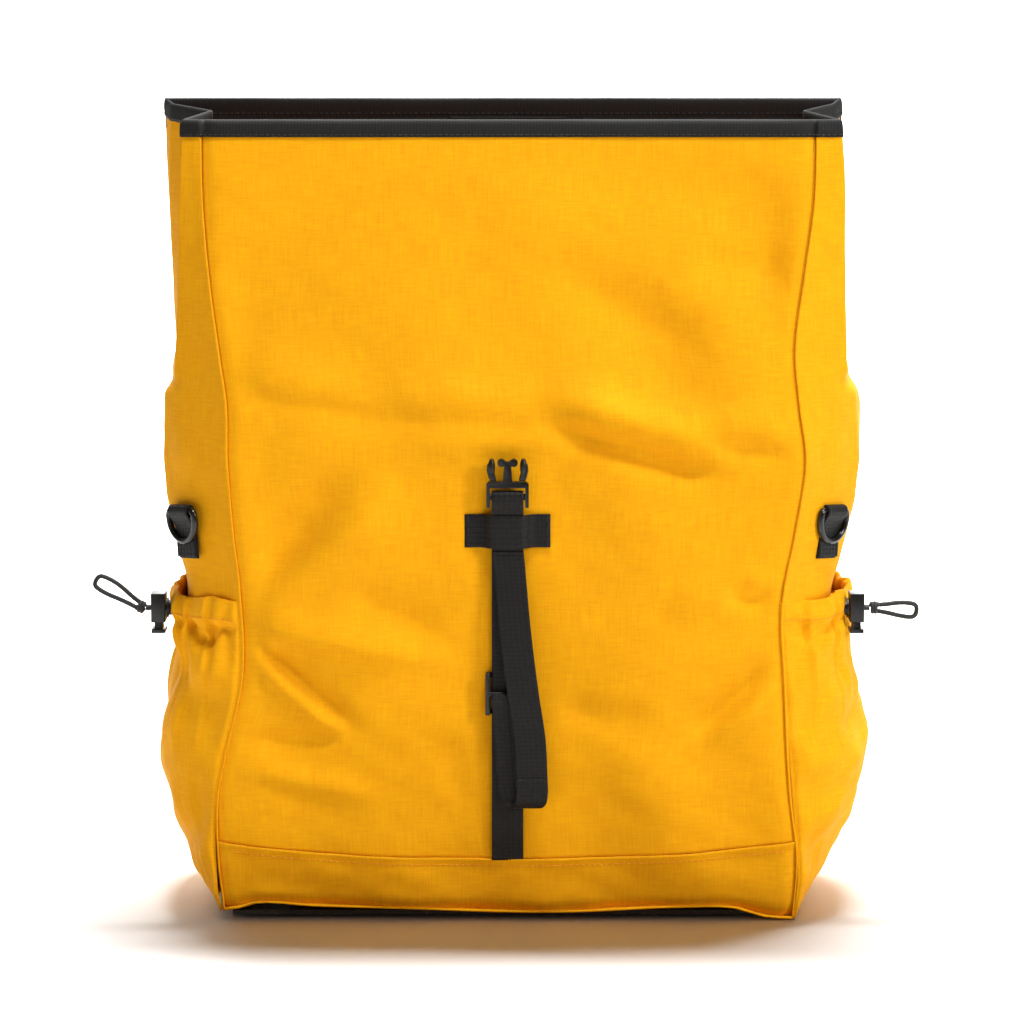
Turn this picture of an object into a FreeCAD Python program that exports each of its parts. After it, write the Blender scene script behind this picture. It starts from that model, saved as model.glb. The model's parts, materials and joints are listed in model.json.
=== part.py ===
"""Roll-top dry bag worn on the back, standing open: a parametric FreeCAD document.

Frame: +Z up, the bag's front faces -Y, +X is the right-hand side seen from the front.
The origin is on the floor under the middle of the bag.  All sizes are in millimetres.
"""
import FreeCAD, Part
import math
import os

import Sketcher

from FreeCAD import Placement, Rotation, Vector

DOC = FreeCAD.newDocument("DryBag")
SHEET = DOC.addObject("Spreadsheet::Sheet", "Sizes")

# ---------------------------------------------------------------------------- driving sizes

SIZES = {
    # the bag
    "base_half_width": 176.0,
    "base_half_depth": 76.0,
    "mouth_half_width": 188.0,
    "mouth_half_depth": 40.0,
    "front_rim_height": 489.0,
    "back_rim_rise": 11.0,
    "band_height": 40.0,
    "fold_start_height": 325.0,
    "shoulder_drop": 35.0,
    "low_crease_depth": 46.0,
    "high_crease_depth": 44.0,
    "fabric_wall": 2.0,
    "tape_wall": 1.0,
    "tape_height": 10.0,
    "closure_length": 73.0,
    "closure_height": 9.0,
    "closure_wall": 1.2,
    "stiffener_wall": 3.0,
    "stiffener_margin": 4.0,
    "stiffener_top_level": 285.0,
    # side pockets
    "pocket_height": 198.0,
    "belly_share": 0.48,
    "pocket_bulge": 45.0,
    "pocket_gap": 8.0,
    "hem_height": 16.0,
    "hem_wall": 1.0,
    "elastic_diameter": 3.0,
    "elastic_clearance": 0.3,
    # cord locks and pull loops
    "lock_width": 9.0,
    "lock_depth": 15.0,
    "lock_height": 18.0,
    "lock_roof": 1.6,
    "lock_side_wall": 1.7,
    "lock_clearance": 0.3,
    "lock_travel": 3.4,
    "lock_slide": 3.0,
    "plunger_gap": 4.3,
    "plunger_cap": 2.5,
    "plunger_head": 1.7,
    "lock_below_cord": 8.3,
    "strand_gap": 0.8,
    "knot_diameter": 7.6,
    "spring_wire": 0.5,
    "spring_diameter": 3.6,
    # webbing and its hardware
    "webbing_width": 20.0,
    "webbing_thickness": 1.4,
    "lie_gap": 0.3,
    "rod_diameter": 3.5,
    "ring_side": 5.0,
    "ring_leg": 6.0,
    "ring_above_pocket": 55.0,
    "ring_corner": 4.0,
    "tab_height": 30.0,
    "tab_loop_clearance": 0.3,
    "tab_lie_gap": 1.0,
    "keeper_width": 52.0,
    "keeper_height": 21.0,
    "keeper_level": 243.2,
    "buckle_level": 264.7,
    "buckle_side": 2.8,
    "buckle_stand_off": 0.9,
    "buckle_thickness": 5.0,
    "buckle_bar": 4.0,
    "wrap_clearance": 0.5,
    "arm_gap": 0.3,
    "slider_level": 143.3,
    "slider_side": 3.5,
    "slider_height": 26.0,
    "slider_bar": 3.0,
    "tail_level": 75.3,
    # the side that rests on the wearer
    "pad_width": 62.0,
    "pad_thickness": 11.0,
    "pad_spacing": 136.0,
    "pad_top_level": 318.0,
    "ladder_lock_level": 89.8,
    "harness_width": 25.0,
    "handle_span": 90.0,
    "handle_level": 345.0,
    "top_strap_level": 372.0,
    "socket_level": 142.0,
    "socket_length": 34.0,
    "socket_thickness": 9.0,
    "socket_bar": 4.0,
    "socket_wall": 1.8,
}


def write_sheet():
    """Puts every driving size in the sheet as a plain number with its name as alias."""
    for row, (name, value) in enumerate(SIZES.items(), start=1):
        SHEET.set("A%d" % row, name)
        SHEET.set("B%d" % row, str(value))
        SHEET.setAlias("B%d" % row, name)
    DOC.recompute()


write_sheet()


def size(name):
    """A driving size, read back from the sheet."""
    return float(SHEET.get(name))


def cell(name):
    """The sheet's name for a driving size, as an expression uses it."""
    return "%s.%s" % (SHEET.Name, name)


PARTS = []


def keep(item, label):
    """Gives a finished sub-part its label, which also names its file."""
    item.Label = label
    PARTS.append(item)
    return item


# ---------------------------------------------------------------------------- the bag's outline

def belly_level():
    """The height at which the side pockets stand out furthest."""
    return size("belly_share") * size("pocket_height")


def shoulder_level():
    """The height at which the gussets bulge furthest, a little below their fold."""
    return size("fold_start_height") - size("shoulder_drop")


def bag_levels():
    """The outside of the right half of the bag, as one row of corners for each level.

    Each row holds the level and five corners in plan, from the front seam to the back seam:
    front seam, front crease, middle, rear crease, back seam.  The middle corner bulges low
    down and folds inwards at the mouth, which is how a roll-top's gusset closes flat.
    """
    base_x = size("base_half_width")
    base_y = size("base_half_depth")
    mouth_x = size("mouth_half_width")
    mouth_y = size("mouth_half_depth")
    front_y = base_y + 3.0
    low = size("low_crease_depth")
    high = size("high_crease_depth")
    rows = [
        (0.0, [(base_x, -base_y), (base_x + 2, 1 - low), (base_x + 2, 0),
               (base_x + 2, low - 1), (base_x - 2, base_y)]),
        (size("band_height"), [(base_x + 1, -front_y), (base_x + 9, -low), (base_x + 12, 0),
                               (base_x + 10, low), (base_x + 2, base_y + 1)]),
        (belly_level(), [(base_x - 2, -front_y), (base_x + 14, -low), (base_x + 20, 0),
                         (base_x + 15, low), (base_x + 5, base_y + 2)]),
        (size("pocket_height"), [(base_x - 8, -front_y), (base_x + 19, -low),
                                 (base_x + 23, 0), (base_x + 20, low),
                                 (base_x + 8, base_y + 2)]),
        (shoulder_level(), [(base_x - 1, -front_y), (base_x + 31, -high), (base_x + 41, 0),
                            (base_x + 33, high), (base_x + 16, base_y - 4)]),
        (size("fold_start_height"), [(base_x - 1, -front_y + 5), (base_x + 30, -high),
                                     (base_x + 38, 0), (base_x + 32, high),
                                     (base_x + 21, base_y - 10)]),
        (size("front_rim_height"), [(mouth_x, -mouth_y), (mouth_x + 15, -mouth_y + 3),
                                    (mouth_x - 4, 0), (mouth_x + 21, mouth_y - 10),
                                    (mouth_x + 26, mouth_y)]),
    ]
    return rows


FRONT_SEAM = 0
FRONT_CREASE = 1
MIDDLE = 2
REAR_CREASE = 3
BACK_SEAM = 4


def rim_heights():
    """The rim's height at each of the five corners: level in front, rising to the back."""
    front = size("front_rim_height")
    back = front + size("back_rim_rise")
    return [front, front, front + 0.4 * (back - front), front + 0.7 * (back - front), back]


def full_loop(half):
    """A closed plan outline from its right half: the left seam corners mirror the right."""
    mirrored = [(-x, y) for x, y in reversed(half)]
    return list(half) + mirrored


def offset_loop(points, distance):
    """A closed outline moved inwards by a distance, with mitred corners."""
    count = len(points)
    moved = []
    for index in range(count):
        before = Vector(*points[index - 1], 0)
        here = Vector(*points[index], 0)
        after = Vector(*points[(index + 1) % count], 0)
        first = (here - before).normalize()
        second = (after - here).normalize()
        normal_a = Vector(-first.y, first.x, 0)
        normal_b = Vector(-second.y, second.x, 0)
        mitre = (normal_a + normal_b) * (distance / (1.0 + normal_a.dot(normal_b)))
        moved.append((here.x + mitre.x, here.y + mitre.y))
    return moved


def offset_line(points, distance):
    """An open outline moved outwards (to its right) by a distance, with mitred corners."""
    normals = []
    for start, end in zip(points, points[1:]):
        run = (Vector(*end, 0) - Vector(*start, 0)).normalize()
        normals.append(Vector(run.y, -run.x, 0))
    moved = []
    for index, point in enumerate(points):
        normal_a = normals[max(index - 1, 0)]
        normal_b = normals[min(index, len(normals) - 1)]
        mitre = (normal_a + normal_b) * (distance / (1.0 + normal_a.dot(normal_b)))
        moved.append((point[0] + mitre.x, point[1] + mitre.y))
    return moved


def bag_rings(inward, lift=0.0):
    """The whole bag's corner rings at every level, moved inwards; lift raises the rim."""
    rims = rim_heights()
    rings = []
    rows = bag_levels()
    for index, (level, half) in enumerate(rows):
        plan = offset_loop(full_loop(half), inward)
        heights = [level] * (2 * len(half))
        if index == len(rows) - 1:
            heights = [rim + lift for rim in rims + rims[::-1]]
        rings.append([Vector(x, y, z) for (x, y), z in zip(plan, heights)])
    return rings


def between(low, high, share):
    """The point a share of the way from one point to another."""
    return low + (high - low) * share


def ring_at(rings, level):
    """The corner ring at a level between two given rings."""
    for low, high in zip(rings, rings[1:]):
        if low[0].z <= level <= high[0].z:
            return [between(a, b, (level - a.z) / (b.z - a.z)) for a, b in zip(low, high)]
    raise ValueError("no ring holds level %s" % level)


# ---------------------------------------------------------------------------- ways of making solids

def triangle(a, b, c):
    """A flat triangular face."""
    return Part.Face(Part.makePolygon([a, b, c, a]))


def patch(a, b, c, d):
    """A four-cornered patch as two triangles, split the same way on both sides of the bag."""
    if a.x + b.x + c.x + d.x < 0:
        return [triangle(a, b, d), triangle(b, c, d)]
    return [triangle(a, b, c), triangle(a, c, d)]


def skin_solid(outer, inner, closed=False):
    """A sheet of fabric as a closed solid between two grids of points.

    Both grids hold the same rows of corners.  Each four-cornered patch becomes two triangles,
    so that a warped panel still has flat faces.  A closed sheet joins its last column to its
    first; an open one gets a face along each end.
    """
    faces = []
    rows = len(outer)
    columns = len(outer[0])
    steps = columns if closed else columns - 1

    for row in range(rows - 1):
        for column in range(steps):
            right = (column + 1) % columns
            faces += patch(outer[row][column], outer[row][right],
                           outer[row + 1][right], outer[row + 1][column])
            faces += patch(inner[row][column], inner[row][right],
                           inner[row + 1][right], inner[row + 1][column])
    for row in (0, rows - 1):
        for column in range(steps):
            right = (column + 1) % columns
            faces += patch(outer[row][column], outer[row][right],
                           inner[row][right], inner[row][column])
    if not closed:
        for column in (0, columns - 1):
            for row in range(rows - 1):
                faces.append(triangle(outer[row][column], outer[row + 1][column],
                                      inner[row + 1][column]))
                faces.append(triangle(outer[row][column], inner[row + 1][column],
                                      inner[row][column]))
    shell = Part.makeShell(faces)
    solid = Part.makeSolid(shell)
    if solid.Volume < 0:
        solid.reverse()
    return solid


def free_shape(label, shape, place=None):
    """A sub-part whose shape is worked out here: soft goods and cords."""
    item = DOC.addObject("Part::Feature", label)
    item.Shape = shape
    item.Placement = place or Placement()
    return keep(item, label)


def sketch_lines(sketch, points):
    """Draws a closed polygon in a sketch, corner joined to corner."""
    first = None
    count = len(points)
    for index in range(count):
        start = Vector(points[index][0], points[index][1], 0)
        end = Vector(points[(index + 1) % count][0], points[(index + 1) % count][1], 0)
        line = sketch.addGeometry(Part.LineSegment(start, end), False)
        first = line if first is None else first
    for index in range(count):
        following = (index + 1) % count
        end_of_line = 2
        start_of_line = 1
        sketch.addConstraint(sketch_join(first + index, end_of_line,
                                         first + following, start_of_line))


def sketch_join(line_a, end_a, line_b, end_b):
    """A constraint that joins two line ends."""
    return Sketcher.Constraint("Coincident", line_a, end_a, line_b, end_b)


def origin_plane(body, role):
    """One of a body's own origin planes."""
    for feature in body.Origin.OriginFeatures:
        if feature.Role == role:
            return feature
    raise ValueError("no plane %s" % role)


def padded_body(label, loops, length, place):
    """A body padded both ways from a sketch: the first loop is the outline, the rest holes."""
    body = DOC.addObject("PartDesign::Body", label)
    sketch = body.newObject("Sketcher::SketchObject", label + "_sketch")
    sketch.AttachmentSupport = [(origin_plane(body, "XY_Plane"), "")]
    sketch.MapMode = "FlatFace"
    for loop in loops:
        sketch_lines(sketch, loop)
    pad = body.newObject("PartDesign::Pad", label + "_pad")
    pad.Profile = sketch
    pad.Midplane = True
    pad.setExpression("Length", length)
    DOC.recompute()
    body.Placement = place
    return keep(body, label)


# A sketch drawn as (y, z) and padded along X: sketch x is the object's y, sketch y its z.
SIDEWAYS = Rotation(Vector(0, 1, 0), Vector(0, 0, 1), Vector(1, 0, 0), "ZXY")
# A sketch drawn as (x, z) and padded along Y.
UPRIGHT = Rotation(Vector(1, 0, 0), Vector(0, 0, 1), Vector(0, -1, 0), "ZXY")


def arc_points(centre, radius, start, end, steps):
    """Points along an arc, angles in degrees."""
    points = []
    for step in range(steps + 1):
        angle = math.radians(start + (end - start) * step / steps)
        points.append((centre[0] + radius * math.cos(angle),
                       centre[1] + radius * math.sin(angle)))
    return points


def rounded_rod_wire(points, share=0.45):
    """Straight runs joined by tangent arcs, and the arcs' radii."""
    edges = []
    radii = []
    last = points[0]
    for before, here, after in zip(points, points[1:], points[2:]):
        into = (here - before).normalize()
        out = (after - here).normalize()
        turn = into.getAngle(out)
        shorter = min((here - before).Length, (after - here).Length)
        radius = share * shorter / math.tan(turn / 2)
        cut = radius * math.tan(turn / 2)
        start = here - into * cut
        end = here + out * cut
        inward = (out - into).normalize()
        middle = here + inward * (radius / math.cos(turn / 2) - radius)
        edges.append(Part.LineSegment(last, start).toShape())
        edges.append(Part.Arc(start, middle, end).toShape())
        radii.append(radius)
        last = end
    edges.append(Part.LineSegment(last, points[-1]).toShape())
    return Part.Wire(edges), radii


def tube_along(wire, diameter):
    """A round tube swept along a path of lines and arcs."""
    start = wire.Edges[0]
    direction = start.tangentAt(start.FirstParameter)
    circle = Part.Circle(start.valueAt(start.FirstParameter), direction, diameter / 2)
    profile = Part.Wire([circle.toShape()])
    return wire.makePipeShell([profile], True, False)


def face_frame(low_a, low_b, high_a, high_b, share, height_share):
    """A placement on a four-cornered panel: x along it, y up it, z out of it."""
    low = between(low_a, low_b, share)
    high = between(high_a, high_b, share)
    here = between(low, high, height_share)
    up = (high - low).normalize()
    along = ((low_b - low_a) + (high_b - high_a)).normalize()
    out = along.cross(up).normalize()
    along = up.cross(out).normalize()
    return Placement(here, Rotation(along, up, out, "ZXY"))


def mirrored(label_item, label):
    """A sub-part's twin on the other side of the bag."""
    twin = DOC.addObject("Part::Mirroring", label)
    twin.Source = label_item
    twin.Normal = Vector(1, 0, 0)
    twin.Base = Vector(0, 0, 0)
    DOC.recompute()
    return keep(twin, label)


# ---------------------------------------------------------------------------- the bag's panels

def make_panels():
    """Front, base band, gussets and back: sheets that meet mitre to mitre at the seams."""
    outer = bag_rings(0.0)
    inner = bag_rings(size("fabric_wall"))
    corners = len(outer[0])
    right = list(range(0, 5))
    front = [corners - 1, 0]
    back = [4, 5]

    def columns(rings, picked, rows):
        return [[rings[row][column] for column in picked] for row in rows]

    every_row = range(len(outer))
    band_rows = range(0, 2)
    above_band = range(1, len(outer))
    free_shape("front_base_band", skin_solid(columns(outer, front, band_rows),
                                             columns(inner, front, band_rows)))
    free_shape("front_panel", skin_solid(columns(outer, front, above_band),
                                         columns(inner, front, above_band)))
    free_shape("back_panel", skin_solid(columns(outer, back, every_row),
                                        columns(inner, back, every_row)))
    gusset = free_shape("right_gusset", skin_solid(columns(outer, right, every_row),
                                                   columns(inner, right, every_row)))
    mirrored(gusset, "left_gusset")


def plate_between(low_ring, high_ring):
    """A solid plate that fills the outline between two levels."""
    faces = []
    count = len(low_ring)
    for index in range(count):
        following = (index + 1) % count
        faces += patch(low_ring[index], low_ring[following],
                       high_ring[following], high_ring[index])
    faces.append(Part.Face(Part.makePolygon(low_ring + [low_ring[0]])))
    faces.append(Part.Face(Part.makePolygon(high_ring + [high_ring[0]])))
    solid = Part.makeSolid(Part.makeShell(faces))
    if solid.Volume < 0:
        solid.reverse()
    return solid


def make_base():
    """The fabric base inside the walls, and the stiff sheet that lies on it."""
    wall = size("fabric_wall")
    inner = bag_rings(wall)
    free_shape("base_panel", plate_between(ring_at(inner, 0.0), ring_at(inner, wall)))
    margin = size("stiffener_margin")
    half_width = size("base_half_width") - wall - margin
    half_depth = size("base_half_depth") - wall - margin
    sheet = DOC.addObject("Part::Box", "base_stiffener")
    sheet.setExpression("Length", "2 * (%s - %s - %s)"
                        % (cell("base_half_width"), cell("fabric_wall"),
                           cell("stiffener_margin")))
    sheet.setExpression("Width", "2 * (%s - %s - %s)"
                        % (cell("base_half_depth"), cell("fabric_wall"),
                           cell("stiffener_margin")))
    sheet.setExpression("Height", cell("stiffener_wall"))
    sheet.Placement.Base = Vector(-half_width, -half_depth, wall)
    keep(sheet, "base_stiffener")
    start = wall + size("stiffener_wall") + 1.0
    slack = 0.5
    back_y = inner[1][BACK_SEAM].y - slack
    top_level = size("stiffener_top_level")
    upper_y = ring_at(inner, top_level)[BACK_SEAM].y - 2 * slack
    thick = size("stiffener_wall")
    path = [(back_y - 1.5, start), (back_y, size("band_height")),
            (back_y, size("pocket_height") - 5.0), (upper_y, top_level)]
    outline = list(path) + [(y - thick, z) for y, z in reversed(path)]
    place = Placement(Vector(0, 0, 0), SIDEWAYS)
    padded_body("back_stiffener", [outline], "1.6 * %s" % cell("base_half_width"), place)


def make_mouth():
    """Binding tape folded over the rim all round, and a closure strip inside each rim."""
    wall = size("fabric_wall")
    tape = size("tape_wall")
    height = size("tape_height")

    def rim_band(inward, lift):
        rings = bag_rings(inward, lift)
        low, high = rings[-2], rings[-1]
        bottom = [between(b, a, height / (b.z - a.z)) for a, b in zip(low, high)]
        return [bottom, high]

    tape_block = skin_solid(rim_band(-tape, tape), rim_band(wall + tape, tape), closed=True)
    rim_outer = bag_rings(0.0)
    rim_inner = bag_rings(wall)
    rim_wall = skin_solid(rim_outer[-2:], rim_inner[-2:], closed=True)
    free_shape("mouth_binding", tape_block.cut(rim_wall))

    for label, seam, sign in (("front_closure_strip", FRONT_SEAM, 1.0),
                              ("back_closure_strip", BACK_SEAM, -1.0)):
        rings = bag_rings(wall)
        low, high = rings[-2][seam], rings[-1][seam]
        top = between(high, low, (height + 1.0) / (high.z - low.z))
        bottom = between(high, low, (height + 1.0 + size("closure_height"))
                         / (high.z - low.z))
        gap = 0.2 * sign
        path = [(bottom.y + gap, bottom.z), (top.y + gap, top.z)]
        thick = size("closure_wall") * sign
        outline = path + [(y + thick, z) for y, z in reversed(path)]
        place = Placement(Vector(0, 0, 0), SIDEWAYS)
        padded_body(label, [outline], cell("closure_length"), place)


# ---------------------------------------------------------------------------- side pockets

def pocket_rows():
    """Inside of the right pocket's wall: levels and five corners each, seam to seam."""
    gusset = bag_rings(0.0)
    bulge = size("pocket_bulge")
    gap = size("pocket_gap")
    rows = []
    hem_level = size("pocket_height") - size("hem_height")
    stand_off = {
        0.0: (1.0, 1.0),
        size("band_height"): (0.22 * bulge, 0.33 * bulge),
        belly_level(): (0.42 * bulge, 0.53 * bulge),
        hem_level: (gap + 0.5, gap + 1.0),
        size("pocket_height"): (gap, gap),
    }
    for level, (crease_gap, middle_gap) in stand_off.items():
        ring = ring_at(gusset, level)
        seam_gap = 0.5
        corners = [(ring[FRONT_SEAM].x + seam_gap, ring[FRONT_SEAM].y - seam_gap)]
        corners.append((ring[FRONT_CREASE].x + crease_gap, ring[FRONT_CREASE].y))
        corners.append((ring[MIDDLE].x + middle_gap, ring[MIDDLE].y))
        corners.append((ring[REAR_CREASE].x + crease_gap, ring[REAR_CREASE].y))
        corners.append((ring[BACK_SEAM].x + seam_gap, ring[BACK_SEAM].y + seam_gap))
        rows.append((level, corners))
    return rows


def row_points(level, corners):
    """The corners of one level as points."""
    return [Vector(x, y, level) for x, y in corners]


def hem_depth():
    """The hem channel's thickness over all: two layers and the elastic between them."""
    channel = size("elastic_diameter") + 2 * size("elastic_clearance")
    return channel + 2 * size("hem_wall")


def make_pocket():
    """The right pocket's wall, its hem channel and the elastic in it."""
    rows = pocket_rows()
    wall_rows = rows[:-1]
    outer = []
    inner = []
    for level, corners in wall_rows:
        inner.append(row_points(level, corners))
        outer.append(row_points(level, offset_line(corners, size("fabric_wall"))))
    pocket = free_shape("right_pocket", skin_solid(outer, inner))

    low_level, low_corners = rows[-2]
    top_level, top_corners = rows[-1]
    layer = size("hem_wall")
    depth = hem_depth()

    def hem_block(near, far, low, high, trim):
        share_low = (low - low_level) / (top_level - low_level)
        share_high = (high - low_level) / (top_level - low_level)

        def corners_at(share, distance):
            line = [(a[0] + (b[0] - a[0]) * share, a[1] + (b[1] - a[1]) * share)
                    for a, b in zip(low_corners, top_corners)]
            return trimmed(offset_line(line, distance), trim)

        return skin_solid(
            [row_points(low, corners_at(share_low, far)),
             row_points(high, corners_at(share_high, far))],
            [row_points(low, corners_at(share_low, near)),
             row_points(high, corners_at(share_high, near))])

    block = hem_block(0.0, depth, low_level, top_level, 0.0)
    channel = hem_block(layer, depth - layer, low_level + layer, top_level - layer, 2.0)
    hem = block.cut(channel)
    exit_x, exit_y = cord_exit()
    hole = Part.makeCylinder(eyelet_radius(), depth + 4.0,
                             Vector(exit_x - 3.0, exit_y, cord_level()), Vector(1, 0, 0))
    hem = hem.cut(hole)
    hem_item = free_shape("right_pocket_hem", hem)

    centre = size("elastic_diameter") / 2 + size("elastic_clearance") + layer
    level = cord_level()
    share = (level - low_level) / (top_level - low_level)
    line = [(a[0] + (b[0] - a[0]) * share, a[1] + (b[1] - a[1]) * share)
            for a, b in zip(low_corners, top_corners)]
    route = trimmed(offset_line(line, centre), 3.0)
    radius = size("elastic_diameter") / 2
    pieces = []
    for start, end in zip(route, route[1:]):
        a = Vector(start[0], start[1], level)
        b = Vector(end[0], end[1], level)
        pieces.append(Part.makeCylinder(radius, (b - a).Length, a, b - a))
    for corner in route[1:-1]:
        pieces.append(Part.makeSphere(radius, Vector(corner[0], corner[1], level)))
    elastic = pieces[0].multiFuse(pieces[1:])
    gap = Part.makeCylinder(eyelet_radius() + 0.3, 4 * depth,
                            Vector(exit_x - 3 * depth, exit_y, level), Vector(1, 0, 0))
    elastic_item = free_shape("right_hem_elastic", elastic.cut(gap))
    mirrored(pocket, "left_pocket")
    mirrored(hem_item, "left_pocket_hem")
    mirrored(elastic_item, "left_hem_elastic")


def trimmed(line, amount):
    """An open outline shortened by an amount at both ends."""
    if amount == 0:
        return line
    start = Vector(*line[0], 0)
    second = Vector(*line[1], 0)
    last = Vector(*line[-1], 0)
    before = Vector(*line[-2], 0)
    start = start + (second - start).normalize() * amount
    last = last + (before - last).normalize() * amount
    return [(start.x, start.y)] + line[1:-1] + [(last.x, last.y)]


def strand_spacing():
    """The distance between the centres of the two strands that leave the hem."""
    return size("elastic_diameter") + size("strand_gap")


def cord_level():
    """The height of the elastic and of the cords that leave the hem."""
    return size("pocket_height") - size("hem_height") / 2 - 1.0


def eyelet_radius():
    """The outside of the eyelet's barrel, round both strands."""
    return strand_spacing() / 2 + size("elastic_diameter") / 2 + 1.4


def cord_exit():
    """Where the cords leave the right hem, in plan: on its outer face, a little to the front."""
    rows = pocket_rows()
    line = offset_line(rows[-1][1], hem_depth())
    y = 0.78 * line[FRONT_CREASE][1]
    share = (y - line[FRONT_CREASE][1]) / (line[MIDDLE][1] - line[FRONT_CREASE][1])
    x = line[FRONT_CREASE][0] + share * (line[MIDDLE][0] - line[FRONT_CREASE][0])
    return x, y


# ---------------------------------------------------------------------------- cord locks

# The pull loops, in their own plane: distance out from the knot and height beside it.
# Chosen by hand; the outline of a limp loop of shock cord that springs open at its tip.
RIGHT_LOOP = [(0.0, 1.9), (5.6, 2.5), (12.0, 4.0), (18.4, 4.6), (25.2, 3.8),
              (24.7, -4.2), (17.9, -4.4), (11.5, -3.4), (5.6, -2.4), (0.0, -1.9)]
LEFT_LOOP = [(0.0, 1.9), (6.4, 2.4), (13.2, 3.9), (20.0, 4.7), (26.2, 4.3),
             (31.2, 3.0), (30.8, -4.0), (25.4, -4.6), (19.2, -4.2), (12.8, -3.1),
             (6.4, -2.3), (0.0, -1.9)]
# How each loop points: outwards, and up by this angle.
LOOP_TILT = {"right": -4.0, "left": 32.0}


def lock_layout(exit_x):
    """The places along X of the eyelet, the lock and the knot on the right side."""
    eyelet_out = exit_x + 1.6
    lock_in = eyelet_out + 0.6
    lock_out = lock_in + size("lock_width")
    knot_in = lock_out + size("lock_slide") + 0.4
    return eyelet_out, lock_in, lock_out, knot_in


def make_lock():
    """The right cord lock, its eyelet, strands and knot, then their left-hand twins."""
    exit_x, exit_y = cord_exit()
    level = cord_level()
    eyelet_out, lock_in, lock_out, knot_in = lock_layout(exit_x)
    cord_r = size("elastic_diameter") / 2
    half_spacing = strand_spacing() / 2
    clear = 0.1

    bore = half_spacing + cord_r + 0.3
    inner_end = exit_x - hem_depth() + 0.4
    barrel = Part.makeCylinder(eyelet_radius() - 0.1, eyelet_out - inner_end,
                               Vector(inner_end, exit_y, level), Vector(1, 0, 0))
    flange = Part.makeCylinder(eyelet_radius() + 1.4, 0.9,
                               Vector(eyelet_out - 0.9, exit_y, level), Vector(1, 0, 0))
    hole = Part.makeCylinder(bore, 3 * hem_depth(),
                             Vector(inner_end - hem_depth(), exit_y, level), Vector(1, 0, 0))
    eyelet = free_shape("right_cord_eyelet", barrel.fuse(flange).cut(hole))
    mirrored(eyelet, "left_cord_eyelet")

    strands = []
    for side in (-1, 1):
        start = Vector(inner_end + 1.6, exit_y + side * half_spacing, level)
        strands.append(Part.makeCylinder(cord_r, knot_in - start.x, start, Vector(1, 0, 0)))
    strand_item = free_shape("right_cord_strands", Part.makeCompound(strands))
    mirrored(strand_item, "left_cord_strands")

    knot_centre = knot_in + knot_half()
    for side, loop in (("right", RIGHT_LOOP), ("left", LEFT_LOOP)):
        sign = 1.0 if side == "right" else -1.0
        make_knot(side, Vector(sign * knot_centre, exit_y, level), sign)
        make_pull_loop(side, loop, Vector(sign * knot_centre, exit_y, level), sign)

    lock_bottom = level - size("lock_below_cord")
    height = size("lock_height")
    depth = size("lock_depth")
    width = size("lock_width")
    wall = size("lock_side_wall")
    barrel = DOC.addObject("Part::Box", "right_lock_block")
    barrel.setExpression("Length", cell("lock_width"))
    barrel.setExpression("Width", cell("lock_depth"))
    barrel.setExpression("Height", cell("lock_height"))
    barrel.Placement.Base = Vector(lock_in, exit_y - depth / 2, lock_bottom)
    cavity = DOC.addObject("Part::Box", "right_lock_cavity")
    cavity.setExpression("Length", "%s - 2 * %s" % (cell("lock_width"), cell("lock_side_wall")))
    cavity.setExpression("Width", "%s - 2 * %s" % (cell("lock_depth"), cell("lock_side_wall")))
    cavity.setExpression("Height", "%s - %s + 1" % (cell("lock_height"), cell("lock_roof")))
    cavity.Placement.Base = Vector(lock_in + wall, exit_y - depth / 2 + wall, lock_bottom - 1)
    window = DOC.addObject("Part::Box", "right_lock_window")
    window.setExpression("Length", "3 * %s" % cell("lock_width"))
    window.setExpression("Width", "2 * %s + %s + 0.4" % (cell("elastic_diameter"),
                                                         cell("strand_gap")))
    window.setExpression("Height", "%s + 0.2" % cell("elastic_diameter"))
    window.Placement.Base = Vector(lock_in - width,
                                   exit_y - half_spacing - cord_r - 0.2,
                                   level - cord_r - clear)
    soft = DOC.addObject("Part::Fillet", "right_lock_rounded")
    DOC.recompute()
    soft.Base = barrel
    uprights = []
    for index, edge in enumerate(barrel.Shape.Edges, start=1):
        if abs(edge.tangentAt(edge.FirstParameter).z) > 0.9:
            uprights.append((index, 1.2, 1.2))
    soft.Edges = uprights
    hollow = DOC.addObject("Part::Cut", "right_lock_hollow")
    hollow.Base = soft
    hollow.Tool = cavity
    lock = DOC.addObject("Part::Cut", "right_lock_barrel")
    lock.Base = hollow
    lock.Tool = window
    DOC.recompute()
    keep(lock, "right_lock_barrel")
    mirrored(lock, "left_lock_barrel")

    gap = size("lock_clearance")
    stem_x = width - 2 * wall - 2 * gap
    stem_y = depth - 2 * wall - 2 * gap
    cap_top = lock_bottom - size("plunger_gap")
    slot_low = level - cord_r - clear - size("lock_travel") - 0.3
    slot_high = level + cord_r + clear
    stem_top = slot_high + size("plunger_head")
    stem = Part.makeBox(stem_x, stem_y, stem_top - cap_top,
                        Vector(lock_in + wall + gap, exit_y - stem_y / 2, cap_top))
    cap = Part.makeBox(width - 0.4, depth - 0.6, size("plunger_cap"),
                       Vector(lock_in + 0.2, exit_y - depth / 2 + 0.3,
                              cap_top - size("plunger_cap")))
    slot = Part.makeBox(3 * width, 2 * half_spacing + 2 * cord_r + 0.4, slot_high - slot_low,
                        Vector(lock_in - width, exit_y - half_spacing - cord_r - 0.2,
                               slot_low))
    plunger = free_shape("right_lock_plunger", stem.fuse(cap).removeSplitter().cut(slot))
    mirrored(plunger, "left_lock_plunger")

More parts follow.
